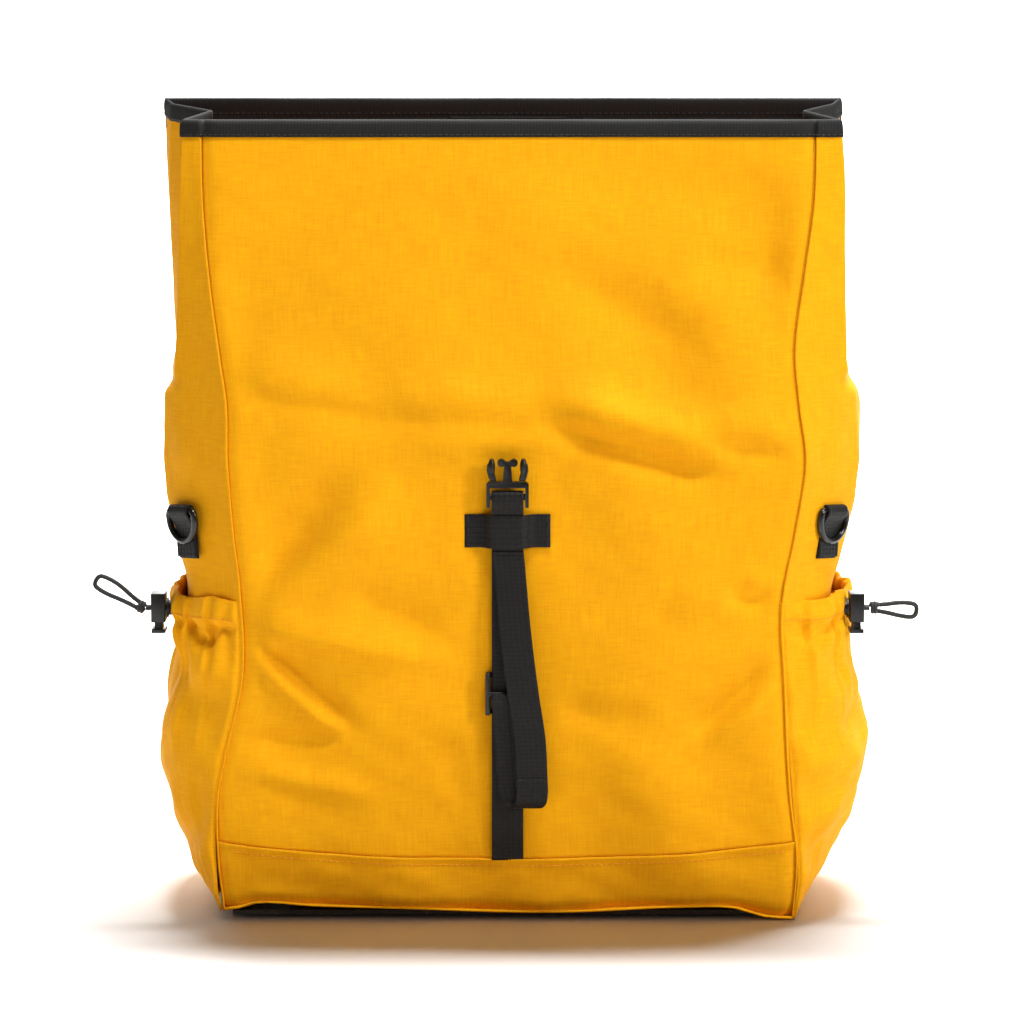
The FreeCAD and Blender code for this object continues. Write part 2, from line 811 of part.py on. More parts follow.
    roof = lock_bottom + height - size("lock_roof")
    turns = 3
    wire = size("spring_wire")
    coil_height = roof - stem_top - wire - 0.2
    helix = Part.makeHelix(coil_height / turns, coil_height, size("spring_diameter") / 2)
    circle = Part.Circle(Vector(size("spring_diameter") / 2, 0, 0), Vector(0, 1, 0), wire / 2)
    spring_shape = Part.Wire(helix).makePipeShell([Part.Wire([circle.toShape()])], True, True)
    place = Placement(Vector(lock_in + width / 2, exit_y, stem_top + wire / 2 + 0.1),
                      Rotation())
    spring = free_shape("right_lock_spring", spring_shape, place)
    mirrored(spring, "left_lock_spring")


def knot_half():
    """Half of the knot's length along the cord."""
    return size("knot_diameter") * 0.3


def loop_directions(side, sign):
    """The way a pull loop points, and the way across it."""
    tilt = math.radians(LOOP_TILT[side])
    out = Vector(sign * math.cos(tilt), 0, math.sin(tilt))
    up = Vector(-sign * math.sin(tilt), 0, math.cos(tilt))
    return out, up


def make_knot(side, centre, sign):
    """A tight knot: a ball flattened where the strands enter and where the loop leaves."""
    out, up = loop_directions(side, sign)
    block = 4 * size("knot_diameter")
    ball = Part.makeSphere(size("knot_diameter") / 2)
    near = Part.makeBox(block, block, block, Vector(-block / 2, -block / 2, knot_half()))
    far = near.copy()
    near.Placement = Placement(Vector(0, 0, 0), Rotation(Vector(0, 0, 1), Vector(-sign, 0, 0)))
    far.Placement = Placement(Vector(0, 0, 0), Rotation(Vector(0, 0, 1), out))
    free_shape(side + "_cord_knot", ball.cut(near).cut(far), Placement(centre, Rotation()))


def make_pull_loop(side, loop, knot_centre, sign):
    """One pull loop of elastic cord beyond its knot."""
    out, up = loop_directions(side, sign)
    start = knot_centre + out * knot_half()
    points = [start + out * along + up * across for along, across in loop]
    wire, radii = rounded_rod_wire(points)
    shape = tube_along(wire, size("elastic_diameter"))
    section = math.pi * (size("elastic_diameter") / 2) ** 2
    print("%s_pull_loop radii %s length %.1f volume %.1f of %.1f"
          % (side, ["%.1f" % radius for radius in radii], wire.Length, shape.Volume,
             section * wire.Length))
    free_shape(side + "_pull_loop", shape)


# ---------------------------------------------------------------------------- D-rings

def gusset_frame(level_low, level_high, share):
    """A placement on the right gusset's front facet."""
    rings = bag_rings(0.0)
    low = ring_at(rings, level_low)
    high = ring_at(rings, level_high)
    return face_frame(low[FRONT_SEAM], low[FRONT_CREASE], high[FRONT_SEAM],
                      high[FRONT_CREASE], share, 1.0)


def ring_width():
    """The D-ring's width over its rod."""
    return size("webbing_width") + 2 * size("ring_side")


def ring_drop():
    """How far the D-ring's bow hangs below its bar: a short leg and half the width."""
    return ring_width() / 2 + size("ring_leg")


def make_d_ring():
    """The right D-ring and its webbing tab: the tab's upper end loops round the ring's bar."""
    top = size("pocket_height") + size("ring_above_pocket")
    across_gusset = 0.78
    place = gusset_frame(top - size("tab_height"), top, across_gusset)
    thick = size("webbing_thickness")
    rod = size("rod_diameter") / 2
    wrap = rod + size("tab_loop_clearance")
    back = size("tab_lie_gap")
    stitched = back + 2 * thick + 0.2
    bar_out = stitched + rod + 0.3
    drop = -size("tab_height")
    bend = -7.0
    outline = [(back, drop), (back, bend)]
    outline += arc_points((bar_out, 0.0), wrap + thick, 180, 0, 12)
    outline += [(bar_out + wrap + thick, -2.5), (stitched, bend - 3.0), (stitched, drop),
                (back + thick + 0.2, drop), (back + thick + 0.2, bend - 3.6),
                (bar_out + wrap, -2.5)]
    outline += arc_points((bar_out, 0.0), wrap, 0, 180, 12)
    outline += [(back + thick, bend + 0.4), (back + thick, drop)]
    turn = Placement(Vector(0, 0, 0),
                     Rotation(Vector(0, 0, 1), Vector(0, 1, 0), Vector(-1, 0, 0), "ZXY"))
    tab = padded_body("right_d_ring_tab", [outline], cell("webbing_width"),
                      place.multiply(turn))
    mirrored(tab, "left_d_ring_tab")

    half = ring_width() / 2 - rod
    bow_drop = ring_drop() - rod
    corner = size("ring_corner")
    edges = []
    shoulder = -(bow_drop - half)
    edges.append(Part.LineSegment(Vector(-half + corner, 0, 0),
                                  Vector(half - corner, 0, 0)).toShape())
    bend = corner * (1 - math.sqrt(0.5))
    edges.append(Part.Arc(Vector(half - corner, 0, 0), Vector(half - bend, -bend, 0),
                          Vector(half, -corner, 0)).toShape())
    edges.append(Part.LineSegment(Vector(half, -corner, 0),
                                  Vector(half, shoulder, 0)).toShape())
    edges.append(Part.Arc(Vector(half, shoulder, 0), Vector(0, shoulder - half, 0),
                          Vector(-half, shoulder, 0)).toShape())
    edges.append(Part.LineSegment(Vector(-half, shoulder, 0),
                                  Vector(-half, -corner, 0)).toShape())
    edges.append(Part.Arc(Vector(-half, -corner, 0), Vector(-half + bend, -bend, 0),
                          Vector(-half + corner, 0, 0)).toShape())
    ring_wire = Part.Wire(edges)
    circle = Part.Circle(Vector(0, 0, 0), Vector(1, 0, 0), rod)
    profile = Part.Wire([circle.toShape()])
    profile.translate(Vector(-half + corner, 0, 0))
    ring_shape = ring_wire.makePipeShell([profile], True, False)
    lift = Placement(Vector(0, 0, bar_out), Rotation())
    ring = free_shape("right_d_ring", ring_shape, place.multiply(lift))
    mirrored(ring, "left_d_ring")
    axis_point = place.multiply(lift).Base
    axis = place.Rotation.multVec(Vector(1, 0, 0))
    print("d_ring axis point %s direction %s" % (axis_point, axis))


# ---------------------------------------------------------------------------- front closure strap

def panel_face():
    """The y of the front panel's flat lower part."""
    return -(size("base_half_depth") + 3.0)


def run_plane():
    """The y of the back of the strap's rear run, clear of the slider's rear bars."""
    return panel_face() - size("lie_gap") - size("slider_bar") + 0.4


def make_front_strap():
    """Rear run, buckle wrap, front layer, tail loop and keeper."""
    thick = size("webbing_thickness")
    face = panel_face()
    run = run_plane()
    bar_y = run - thick - 0.5 * size("buckle_bar") - size("buckle_stand_off")
    bar_z = size("buckle_level")
    wrap = size("buckle_bar") / 2 + size("wrap_clearance")
    back_y = bar_y + wrap
    rise = bar_z - 4.0
    path = [(face - size("lie_gap"), size("band_height")), (run, size("band_height") + 16.0),
            (run, size("keeper_level") - 12.0), (back_y + thick, rise)]
    path += arc_points((bar_y, bar_z), wrap + thick, 0, 180, 12)
    front_y = bar_y - wrap - thick
    path += [(front_y, bar_z - 3.0)]
    path_to_join = path + [(run - 2 * thick - 0.4, size("keeper_level") + 12.0),
                           (run - 2 * thick - 0.4, size("keeper_level") - 12.0)]
    outline = list(path_to_join) + offset_line(path_to_join, -thick)[::-1]
    padded_body("front_strap", [outline], cell("webbing_width"),
                Placement(Vector(0, 0, 0), SIDEWAYS))

    layer_y = run - thick - 0.4
    front_bar = slider_front() - 2.2
    tail = size("tail_level")
    join = tail + 14.0
    layer_path = [(layer_y, size("keeper_level") - 12.0), (layer_y, size("keeper_level") - 23.0),
                  (front_bar, size("slider_level") + 18.0), (front_bar, join)]
    layer_outline = list(layer_path) + offset_line(layer_path, thick)[::-1]
    padded_body("strap_front_layer", [layer_outline], cell("webbing_width"),
                Placement(Vector(0, 0, 0), SIDEWAYS))

    radius = (front_bar - (slider_front() + 1.9)) / -2
    middle_y = front_bar + radius
    tail_path = [(front_bar, join), (front_bar, tail + radius)]
    tail_path += arc_points((middle_y, tail + radius), radius, 180, 360, 10)[1:]
    end_y = slider_front() - thick - 0.1
    tail_path += [(middle_y + radius, size("slider_level") - 12.0),
                  (end_y, size("slider_level") - 2.5),
                  (end_y, size("slider_level") + 1.5)]
    tail_outline = list(tail_path) + offset_line(tail_path, thick)[::-1]
    padded_body("strap_tail_loop", [tail_outline], cell("webbing_width"),
                Placement(Vector(0, 0, 0), SIDEWAYS))

    keeper_front = run - 2 * thick - 0.4 - 0.4
    half = size("keeper_width") / 2
    bridge = size("webbing_width") / 2 + 0.5
    flat = face - size("lie_gap")
    keeper_path = [(-half, flat), (-bridge - 4.0, flat), (-bridge, keeper_front),
                   (bridge, keeper_front), (bridge + 4.0, flat), (half, flat)]
    keeper_outline = list(keeper_path) + offset_line(keeper_path, thick)[::-1]
    padded_body("keeper_tab", [keeper_outline], cell("keeper_height"),
                Placement(Vector(0, 0, size("keeper_level")), Rotation()))
    return bar_y


def buckle_width():
    """The buckle's width over its two side rails."""
    return size("webbing_width") + 2 * size("buckle_side")


def slider_width():
    """The slider's width over its two side rails."""
    return size("webbing_width") + 2 * size("slider_side")


def slider_centre_y():
    """The y of the slider's centre bar, in front of the rear run."""
    return run_plane() - size("webbing_thickness") - 0.5 - size("slider_bar") / 2


def slider_front():
    """The y of the front of the slider's centre bar."""
    return slider_centre_y() - size("slider_bar") / 2


def make_slider():
    """Tri-glide: two rear bars, a centre bar in front, and side rails that join them."""
    width = slider_width()
    height = size("slider_height")
    bar = size("slider_bar")
    level = size("slider_level")
    rear_front = run_plane() + 0.25
    rear_back = panel_face() - 0.1
    rail_back = rear_back
    rail_front = slider_front()
    rail_wide = (width - size("webbing_width")) / 2 - 0.5
    pieces = []
    for side in (-1, 1):
        x = side * (width / 2 - rail_wide / 2) - rail_wide / 2
        pieces.append(Part.makeBox(rail_wide, rail_back - rail_front, height,
                                   Vector(x, rail_front, level - height / 2)))
    for z in (level - height / 2, level + height / 2 - bar):
        pieces.append(Part.makeBox(width - 0.2, rear_back - rear_front, bar,
                                   Vector(-width / 2 + 0.1, rear_front, z)))
    pieces.append(Part.makeBox(width - 0.2, bar, bar,
                               Vector(-width / 2 + 0.1, slider_front(), level - bar / 2)))
    slider = pieces[0].multiFuse(pieces[1:]).removeSplitter()
    free_shape("tri_glide", slider)


def make_male_buckle(bar_y):
    """Male side-release buckle: frame, bar and guide post, with two separate sprung arms."""
    bar_z = size("buckle_level")
    half = buckle_width() / 2
    rail = (buckle_width() - size("webbing_width")) / 2 - 0.6
    top_low = bar_z + 5.6
    top_high = top_low + 3.8
    bottom = bar_z - 6.4
    post = 2.8
    tip = top_high + 13.0
    outline = [(-half, bottom), (-half + rail, bottom), (-half + rail, top_low),
               (half - rail, top_low), (half - rail, bottom), (half, bottom),
               (half, top_high - 1.5), (half - 1.5, top_high), (post, top_high),
               (post - 0.6, tip - 4.0)]
    lobe_x = 3.8
    lobe = 2.4
    outline += arc_points((lobe_x, tip - 1.6), lobe, -120, 110, 8)
    outline += [(1.0, tip - 0.8), (-1.0, tip - 0.8)]
    outline += arc_points((-lobe_x, tip - 1.6), lobe, 70, 300, 8)
    outline += [(-post + 0.6, tip - 4.0), (-post, top_high), (-half + 1.5, top_high),
                (-half, top_high - 1.5)]
    place = Placement(Vector(0, bar_y, 0), UPRIGHT)
    body = DOC.addObject("PartDesign::Body", "buckle_frame")
    sketch = body.newObject("Sketcher::SketchObject", "buckle_frame_sketch")
    sketch.AttachmentSupport = [(origin_plane(body, "XY_Plane"), "")]
    sketch.MapMode = "FlatFace"
    sketch_lines(sketch, outline)
    pad = body.newObject("PartDesign::Pad", "buckle_frame_pad")
    pad.Profile = sketch
    pad.Midplane = True
    pad.setExpression("Length", cell("buckle_thickness"))
    body.Placement = place
    bar = DOC.addObject("Part::Cylinder", "buckle_bar_rod")
    bar.setExpression("Radius", "%s / 2" % cell("buckle_bar"))
    bar.setExpression("Height", "%s + 2 * %s - 1" % (cell("webbing_width"),
                                                     cell("buckle_side")))
    bar.Placement = Placement(Vector(-half + 0.5, bar_y, bar_z),
                              Rotation(Vector(0, 1, 0), 90))
    buckle = DOC.addObject("Part::Fuse", "male_buckle")
    buckle.Base = body
    buckle.Tool = bar
    DOC.recompute()
    keep(buckle, "male_buckle")

    gap = size("arm_gap")
    root = top_high + gap
    arm = [(half - 6.2, root), (half - 2.0, root), (half - 1.0, root + 3.0),
           (half - 0.2, root + 6.5), (half - 0.6, root + 10.0), (half - 2.4, root + 12.4),
           (half - 4.4, root + 11.8), (half - 5.2, root + 9.0), (half - 4.6, root + 6.0),
           (half - 5.4, root + 3.0)]
    right = padded_body("right_buckle_arm", [arm],
                        "%s - 1" % cell("buckle_thickness"), place)
    mirrored(right, "left_buckle_arm")
    print("buckle axis y %.3f z %.3f arm root z %.3f x %.3f" % (bar_y, bar_z, root, half - 4.0))


# ---------------------------------------------------------------------------- the wearer's side

def back_line(clearance):
    """The back panel's side view, from low to high, moved out by a clearance."""
    rings = bag_rings(0.0)
    line = [(ring[BACK_SEAM].y, ring[BACK_SEAM].z) for ring in rings]
    return offset_line(line, clearance)


def on_back(level, clearance):
    """A (y, z) point at a level on the back panel, moved out by a clearance."""
    line = back_line(clearance)
    for low, high in zip(line, line[1:]):
        if low[1] <= level <= high[1]:
            share = (level - low[1]) / (high[1] - low[1])
            return (low[0] + share * (high[0] - low[0]), level)
    raise ValueError("level %s is off the back panel" % level)


def make_top_strap():
    """The strap that goes over the rolled mouth, hanging at rest, and the female buckle."""
    thick = size("webbing_thickness")
    gap = 0.5
    shoulder = shoulder_level()
    hem = size("pocket_height")
    stops = [size("top_strap_level"), size("fold_start_height"), shoulder,
             (shoulder + hem) / 2, hem]
    path = [on_back(level, gap + thick) for level in stops]
    high = size("socket_level") + size("socket_length")
    bar = size("socket_bar") / 2
    wrap = bar + 0.4
    bar_y = path[-1][0] + wrap + 1.4
    bar_z = high - bar
    path += [(bar_y - wrap, high + 8.0)]
    path += arc_points((bar_y, bar_z), wrap, 180, 360, 12)
    path += [(bar_y + wrap, high + 10.0)]
    outline = list(path) + offset_line(path, thick)[::-1]
    padded_body("top_strap", [outline], cell("webbing_width"),
                Placement(Vector(0, 0, 0), SIDEWAYS))
    make_female_buckle(bar_y, bar_z)


def make_female_buckle(bar_y, bar_z):
    """Female buckle: a socket open below, side windows for the arms, and a round bar above."""
    wide = buckle_width() + 4.0
    deep = size("socket_thickness")
    wall = size("socket_wall")
    length = size("socket_length")
    low = size("socket_level")
    near = bar_y - deep / 2
    strap_gap = size("webbing_width") + 1.2
    strap_room = 7.5
    body = Part.makeBox(wide, deep, length, Vector(-wide / 2, near, low))
    cavity = Part.makeBox(wide - 2 * wall, deep - 2 * wall, length - strap_room - 4.0,
                          Vector(-wide / 2 + wall, near + wall, low - 1.0))
    socket = body.cut(cavity)
    for side in (-1, 1):
        window = Part.makeBox(6.0, deep + 2.0, 10.0,
                              Vector(side * wide / 2 - 3.0, near - 1.0, low + 6.0))
        socket = socket.cut(window)
    room = Part.makeBox(strap_gap, deep + 2.0, strap_room + 1.0,
                        Vector(-strap_gap / 2, near - 1.0, low + length - strap_room))
    socket = socket.cut(room)
    rod = Part.makeCylinder(size("socket_bar") / 2, wide - 1.0,
                            Vector(-wide / 2 + 0.5, bar_y, bar_z), Vector(1, 0, 0))
    free_shape("female_buckle", socket.fuse(rod))
    print("female buckle axis y %.3f z %.3f" % (bar_y, bar_z))


def make_handle():
    """The haul handle: a webbing loop bowed out from the back panel."""
    thick = size("webbing_thickness")
    level = size("handle_level")
    lower_edge = level - size("harness_width") / 2
    half = size("handle_span") / 2
    base = on_back(lower_edge, 0.0)[0] + 1.35
    path = [(half + 12.0, base), (half - 2.0, base), (half - 14.0, base + 13.0),
            (14.0, base + 22.0), (-14.0, base + 22.0), (-half + 14.0, base + 13.0),
            (-half + 2.0, base), (-half - 12.0, base)]
    outline = list(path) + offset_line(path, 2 * thick)[::-1]
    padded_body("haul_handle", [outline], cell("harness_width"),
                Placement(Vector(0, 0, level), Rotation()))


def make_shoulder_straps():
    """Padded shoulder strap, lower webbing and ladder lock on the right, then their twins."""
    across = size("pad_spacing") / 2
    thick = size("pad_thickness")
    web = size("webbing_thickness")
    top = on_back(size("pad_top_level"), 0.6)
    path = [top, (top[0] + 12.0, 312.0), (top[0] + 26.0, 286.0), (top[0] + 34.0, 240.0),
            (top[0] + 34.0, 190.0), (top[0] + 30.0, 140.0), (top[0] + 24.0, 112.0)]
    outline = list(path) + offset_line(path, -thick)[::-1]
    pad = padded_body("right_shoulder_strap", [outline], cell("pad_width"),
                      Placement(Vector(across, 0, 0), SIDEWAYS))
    mirrored(pad, "left_shoulder_strap")

    end = path[-1]
    lock_z = size("ladder_lock_level")
    lock_y = end[0] + 3.0
    width = size("harness_width") + 6.0
    frame = Part.makeBox(width, 4.0, 19.4, Vector(across - width / 2, lock_y - 2.0, lock_z))
    for z in (lock_z + 3.0, lock_z + 11.5):
        frame = frame.cut(Part.makeBox(size("harness_width") + 0.8, 8.0, 5.0,
                                       Vector(across - size("harness_width") / 2 - 0.4,
                                              lock_y - 4.0, z)))
    lock = free_shape("right_ladder_lock", frame)
    mirrored(lock, "left_ladder_lock")

    lower = [(on_back(8.0, 0.5)[0], 8.0), (on_back(22.0, 0.5)[0] + 2.0, 22.0),
             (lock_y - 4.4, lock_z - 4.0), (lock_y - 4.4, lock_z + 17.0)]
    web_outline = list(lower) + offset_line(lower, web)[::-1]
    run = padded_body("right_shoulder_webbing", [web_outline], cell("harness_width"),
                      Placement(Vector(across, 0, 0), SIDEWAYS))
    mirrored(run, "left_shoulder_webbing")


# ---------------------------------------------------------------------------- the whole bag

def check_and_write():
    """Stops on any failed object or bad shape, then writes one file for each sub-part."""
    DOC.recompute()
    for item in DOC.Objects:
        if "Invalid" in item.State or "Error" in item.State:
            raise RuntimeError("%s did not compute: %s" % (item.Label, item.State))
    for item in PARTS:
        shape = item.Shape
        if shape.isNull() or not shape.isValid() or shape.Volume <= 0:
            raise RuntimeError("%s has a bad shape" % item.Label)
    os.makedirs("parts", exist_ok=True)
    for item in PARTS:
        item.Shape.exportStep("parts/%s.step" % item.Label)
    print("%d sub-parts written" % len(PARTS))


def main():
    make_panels()
    make_base()
    make_mouth()
    make_pocket()
    make_lock()
    make_d_ring()
    bar_y = make_front_strap()
    make_slider()
    make_male_buckle(bar_y)
    make_top_strap()
    make_handle()
    make_shoulder_straps()
    check_and_write()


main()
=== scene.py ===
import json
import math

import bmesh
import bpy
import numpy as np
from bpy.props import FloatProperty, PointerProperty, StringProperty
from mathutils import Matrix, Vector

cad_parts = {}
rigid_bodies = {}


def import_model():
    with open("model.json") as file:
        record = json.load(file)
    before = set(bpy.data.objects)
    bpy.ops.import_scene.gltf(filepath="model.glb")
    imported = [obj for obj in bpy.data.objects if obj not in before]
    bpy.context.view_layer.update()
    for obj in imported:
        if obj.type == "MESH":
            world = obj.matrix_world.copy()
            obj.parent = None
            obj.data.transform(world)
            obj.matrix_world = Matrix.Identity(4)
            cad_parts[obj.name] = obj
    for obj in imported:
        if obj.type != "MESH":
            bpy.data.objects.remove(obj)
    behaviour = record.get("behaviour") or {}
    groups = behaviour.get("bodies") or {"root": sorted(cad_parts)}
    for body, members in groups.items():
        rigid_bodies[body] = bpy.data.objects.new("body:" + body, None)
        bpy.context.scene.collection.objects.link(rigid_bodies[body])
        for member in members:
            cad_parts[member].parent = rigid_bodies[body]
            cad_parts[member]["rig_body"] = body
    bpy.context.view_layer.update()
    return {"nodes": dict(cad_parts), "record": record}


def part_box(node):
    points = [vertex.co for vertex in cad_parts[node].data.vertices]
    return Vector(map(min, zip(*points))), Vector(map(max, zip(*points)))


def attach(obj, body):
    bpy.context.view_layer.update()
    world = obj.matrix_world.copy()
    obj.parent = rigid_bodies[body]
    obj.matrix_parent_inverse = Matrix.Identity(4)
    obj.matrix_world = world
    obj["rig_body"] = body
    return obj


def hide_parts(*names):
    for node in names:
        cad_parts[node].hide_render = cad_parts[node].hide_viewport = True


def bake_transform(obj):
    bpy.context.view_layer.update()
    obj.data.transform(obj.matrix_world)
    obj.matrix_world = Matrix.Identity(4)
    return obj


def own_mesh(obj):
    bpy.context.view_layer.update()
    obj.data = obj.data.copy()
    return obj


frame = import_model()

bl_info = {
    "name": "Roll-top dry bag",
    "version": (1, 0, 0),
    "blender": (4, 5, 0),
    "location": "View3D > Sidebar > Dry bag",
    "description": "Builds the cloth, webbing, cords and hardware of a roll-top dry bag",
    "category": "Add Mesh",
}

MM = 0.001


# ------------------------------------------------------------------ sizes and colours to change

class BagSizes(bpy.types.PropertyGroup):
    """Sizes of the cloth, webbing and thread."""

    cloth: FloatProperty(name="Cloth", description="Thickness of the coated canvas",
                         default=1.0 * MM, unit="LENGTH")
    weave: FloatProperty(name="Weave", description="Thread spacing, drawn coarse enough to show",
                         default=1.15 * MM, unit="LENGTH")
    webbing: FloatProperty(name="Webbing", description="Thickness of the webbing",
                           default=1.35 * MM, unit="LENGTH")
    rib: FloatProperty(name="Rib", description="Spacing of the webbing's ribs",
                       default=1.7 * MM, unit="LENGTH")
    stitch: FloatProperty(name="Stitch", description="Length of one stitch",
                          default=2.6 * MM, unit="LENGTH")
    thread: FloatProperty(name="Thread", description="Thickness of the sewing thread",
                          default=0.5 * MM, unit="LENGTH")
    cord: FloatProperty(name="Cord", description="Diameter of the shock cord",
                        default=3.0 * MM, unit="LENGTH")
    floor: FloatProperty(name="Floor", description="Half width of the studio floor",
                         default=6.0, unit="LENGTH")


class BagColours(bpy.types.PropertyGroup):
    """Colours as sRGB hex values."""

    canvas: StringProperty(name="Canvas", description="Amber coated canvas", default="#F1AE0B")
    canvas_deep: StringProperty(name="Canvas, deep", description="Amber between the threads",
                                default="#E69805")
    thread: StringProperty(name="Amber thread", description="Thread of the panel seams",
                           default="#D98806")
    webbing: StringProperty(name="Webbing", description="Black nylon webbing",
                            default="#0D0C0C")
    tape: StringProperty(name="Tape", description="Black binding tape", default="#100F0F")
    plastic: StringProperty(name="Plastic", description="Black moulded acetal",
                            default="#080808")
    floor: StringProperty(name="Floor", description="Studio floor", default="#FFFFFF")


def sizes():
    return bpy.context.scene.bag_sizes


def colours():
    return bpy.context.scene.bag_colours


# ------------------------------------------------------------------ numbers

def smooth(low, high, value):
    """A rise from 0 at low to 1 at high, flat at both ends."""
    share = np.clip((value - low) / (high - low), 0.0, 1.0)
    return share * share * (3.0 - 2.0 * share)


def through(knots, values, at):
    """A smooth curve through values at rising knots: cubic pieces whose slope at a knot is
    the mean of the slopes beside it."""
    knots = np.asarray(knots, float)
    values = np.asarray(values, float)
    steps = np.diff(knots)
    slopes = np.diff(values, axis=0) / steps.reshape(-1, *([1] * (values.ndim - 1)))
    inner = (slopes[1:] + slopes[:-1]) / 2
    tangents = np.concatenate([slopes[:1], inner, slopes[-1:]])
    at = np.clip(at, knots[0], knots[-1])
    place = np.clip(np.searchsorted(knots, at, side="right") - 1, 0, len(knots) - 2)
    width = steps[place]
    share = (at - knots[place]) / width
    shape = (-1,) + (1,) * (values.ndim - 1)
    t = share.reshape(shape)
    width = width.reshape(shape)
    a, b = values[place], values[place + 1]
    ta, tb = tangents[place] * width, tangents[place + 1] * width
    return ((2 * t ** 3 - 3 * t ** 2 + 1) * a + (t ** 3 - 2 * t ** 2 + t) * ta
            + (-2 * t ** 3 + 3 * t ** 2) * b + (t ** 3 - t ** 2) * tb)


def unit(vectors):
    """Vectors scaled to length one."""
    length = np.linalg.norm(vectors, axis=-1, keepdims=True)
    return vectors / np.maximum(length, 1e-12)


def lengths_along(points):
    """The distance walked along a path up to each of its points."""
    steps = np.linalg.norm(np.diff(points, axis=0), axis=1)
    return np.concatenate([[0.0], np.cumsum(steps)])


def resampled(points, spacing):
    """A path's points moved to even steps along it."""
    walked = lengths_along(points)
    count = max(int(round(walked[-1] / spacing)), 2) + 1
    stops = np.linspace(0.0, walked[-1], count)
    return np.stack([np.interp(stops, walked, points[:, axis]) for axis in range(3)], axis=1)


def cloudy(u, v, scale, seed):
    """Soft unevenness between -1 and 1: a few crossing sine waves with seeded directions."""
    chance = np.random.default_rng(seed)
    total = np.zeros_like(u)
    waves = 7
    for _ in range(waves):
        angle = chance.uniform(0, 2 * math.pi)
        reach = scale * chance.uniform(0.6, 1.7)
        phase = chance.uniform(0, 2 * math.pi)
        total += np.sin((u * math.cos(angle) + v * math.sin(angle)) * 2 * math.pi / reach
                        + phase)
    return total / waves ** 0.5


# ------------------------------------------------------------------ meshes

def grid_faces(rows, columns, around, closed_rows=False):
    """Four-cornered faces of a grid whose points are numbered row by row."""
    row = np.arange(rows if closed_rows else rows - 1)
    column = np.arange(columns if around else columns - 1)
    row, column = np.meshgrid(row, column, indexing="ij")
    below = (row + 1) % rows
    right = (column + 1) % columns
    faces = np.stack([row * columns + column, row * columns + right,
                      below * columns + right, below * columns + column], axis=-1)
    return faces.reshape(-1, 4)


def make_mesh(name, points, faces, uv=None, smooth_shade=True):
    """A mesh object from an array of points and an array of faces, with its own UV map."""
    mesh = bpy.data.meshes.new(name)
    points = np.asarray(points, float).reshape(-1, 3)
    faces = np.asarray(faces, int)
    mesh.vertices.add(len(points))
    mesh.vertices.foreach_set("co", points.ravel())
    corners = faces.shape[1]
    mesh.loops.add(faces.size)
    mesh.loops.foreach_set("vertex_index", faces.ravel())
    mesh.polygons.add(len(faces))
    mesh.polygons.foreach_set("loop_start", np.arange(0, faces.size, corners))
    mesh.update(calc_edges=True)
    mesh.validate()
    if uv is not None:
        layer = mesh.uv_layers.new(name="cloth")
        layer.data.foreach_set("uv", np.asarray(uv, float).reshape(-1, 2)[faces.ravel()].ravel())
    mesh.polygons.foreach_set("use_smooth", [smooth_shade] * len(mesh.polygons))
    piece = bpy.data.objects.new(name, mesh)
    bpy.context.scene.collection.objects.link(piece)
    return piece


def sheet_mesh(name, points, uv, flip=False):
    """An open grid of points as cloth."""
    rows, columns = points.shape[:2]
    faces = grid_faces(rows, columns, False)
    if flip:
        faces = faces[:, ::-1]
    return make_mesh(name, points, faces, uv)


def thicken(piece, thickness, offset=-1.0):
    """Gives a sheet its thickness, inwards from the side that shows."""
    wall = piece.modifiers.new("thickness", "SOLIDIFY")
    wall.thickness = thickness
    wall.offset = offset
    wall.use_even_offset = False
    return piece


def capped_faces(rows, columns):
    """Faces of a closed band of rings, with a fan of quads across each end ring."""
    faces = grid_faces(rows, columns, True)
    half = columns // 2
    index = np.arange(half - 1)
    low = np.stack([index, index + 1, columns - 2 - index, columns - 1 - index], axis=1)
    last = (rows - 1) * columns
    high = last + low[:, ::-1]
    return np.concatenate([faces[:, ::-1], low, high])


def swept(name, path, sideways, outward, profile):
    """A closed profile carried along a path.

    Each ring is the path's point plus the profile's first number times the sideways direction
    and its second times the outward one; the ends are closed.
    """
    rings = (path[:, None, :]
             + profile[None, :, 0:1] * sideways[:, None, :]
             + profile[None, :, 1:2] * outward[:, None, :])
    rows, columns = rings.shape[:2]
    walked = lengths_along(path)
    around = np.concatenate([[0.0], np.cumsum(np.linalg.norm(np.diff(profile, axis=0),
                                                             axis=1))])
    uv = np.stack(np.broadcast_arrays(around[None, :], walked[:, None]), axis=-1)
    piece = make_mesh(name, rings, capped_faces(rows, columns), uv)
    turn_outwards(piece)
    return piece


def turn_outwards(piece):
    """Points all faces of a closed mesh outwards."""
    work = bmesh.new()
    work.from_mesh(piece.data)
    bmesh.ops.recalc_face_normals(work, faces=work.faces)
    work.to_mesh(piece.data)
    work.free()


def webbing_profile(width, thickness):
    """The cross-section of ribbed webbing, across and out: a flat band whose two faces ripple
    by a tenth of a millimetre at the rib spacing, with rounded selvedges."""
    rib = sizes().rib
    count = 41
    across = np.linspace(-0.5, 0.5, count) * (width - thickness * 0.6)
    ripple = 0.11 * MM * np.cos(across / rib * 2 * math.pi)
    edge = np.clip((0.5 * width - np.abs(across)) / (thickness * 0.55), 0.0, 1.0)
    half = 0.5 * thickness * np.sqrt(1 - (1 - edge) ** 2 * 0.55)
    front = np.stack([across, half + ripple], axis=1)
    back = np.stack([across[::-1], -half[::-1] - ripple[::-1]], axis=1)
    profile = np.concatenate([front, back])
    return profile


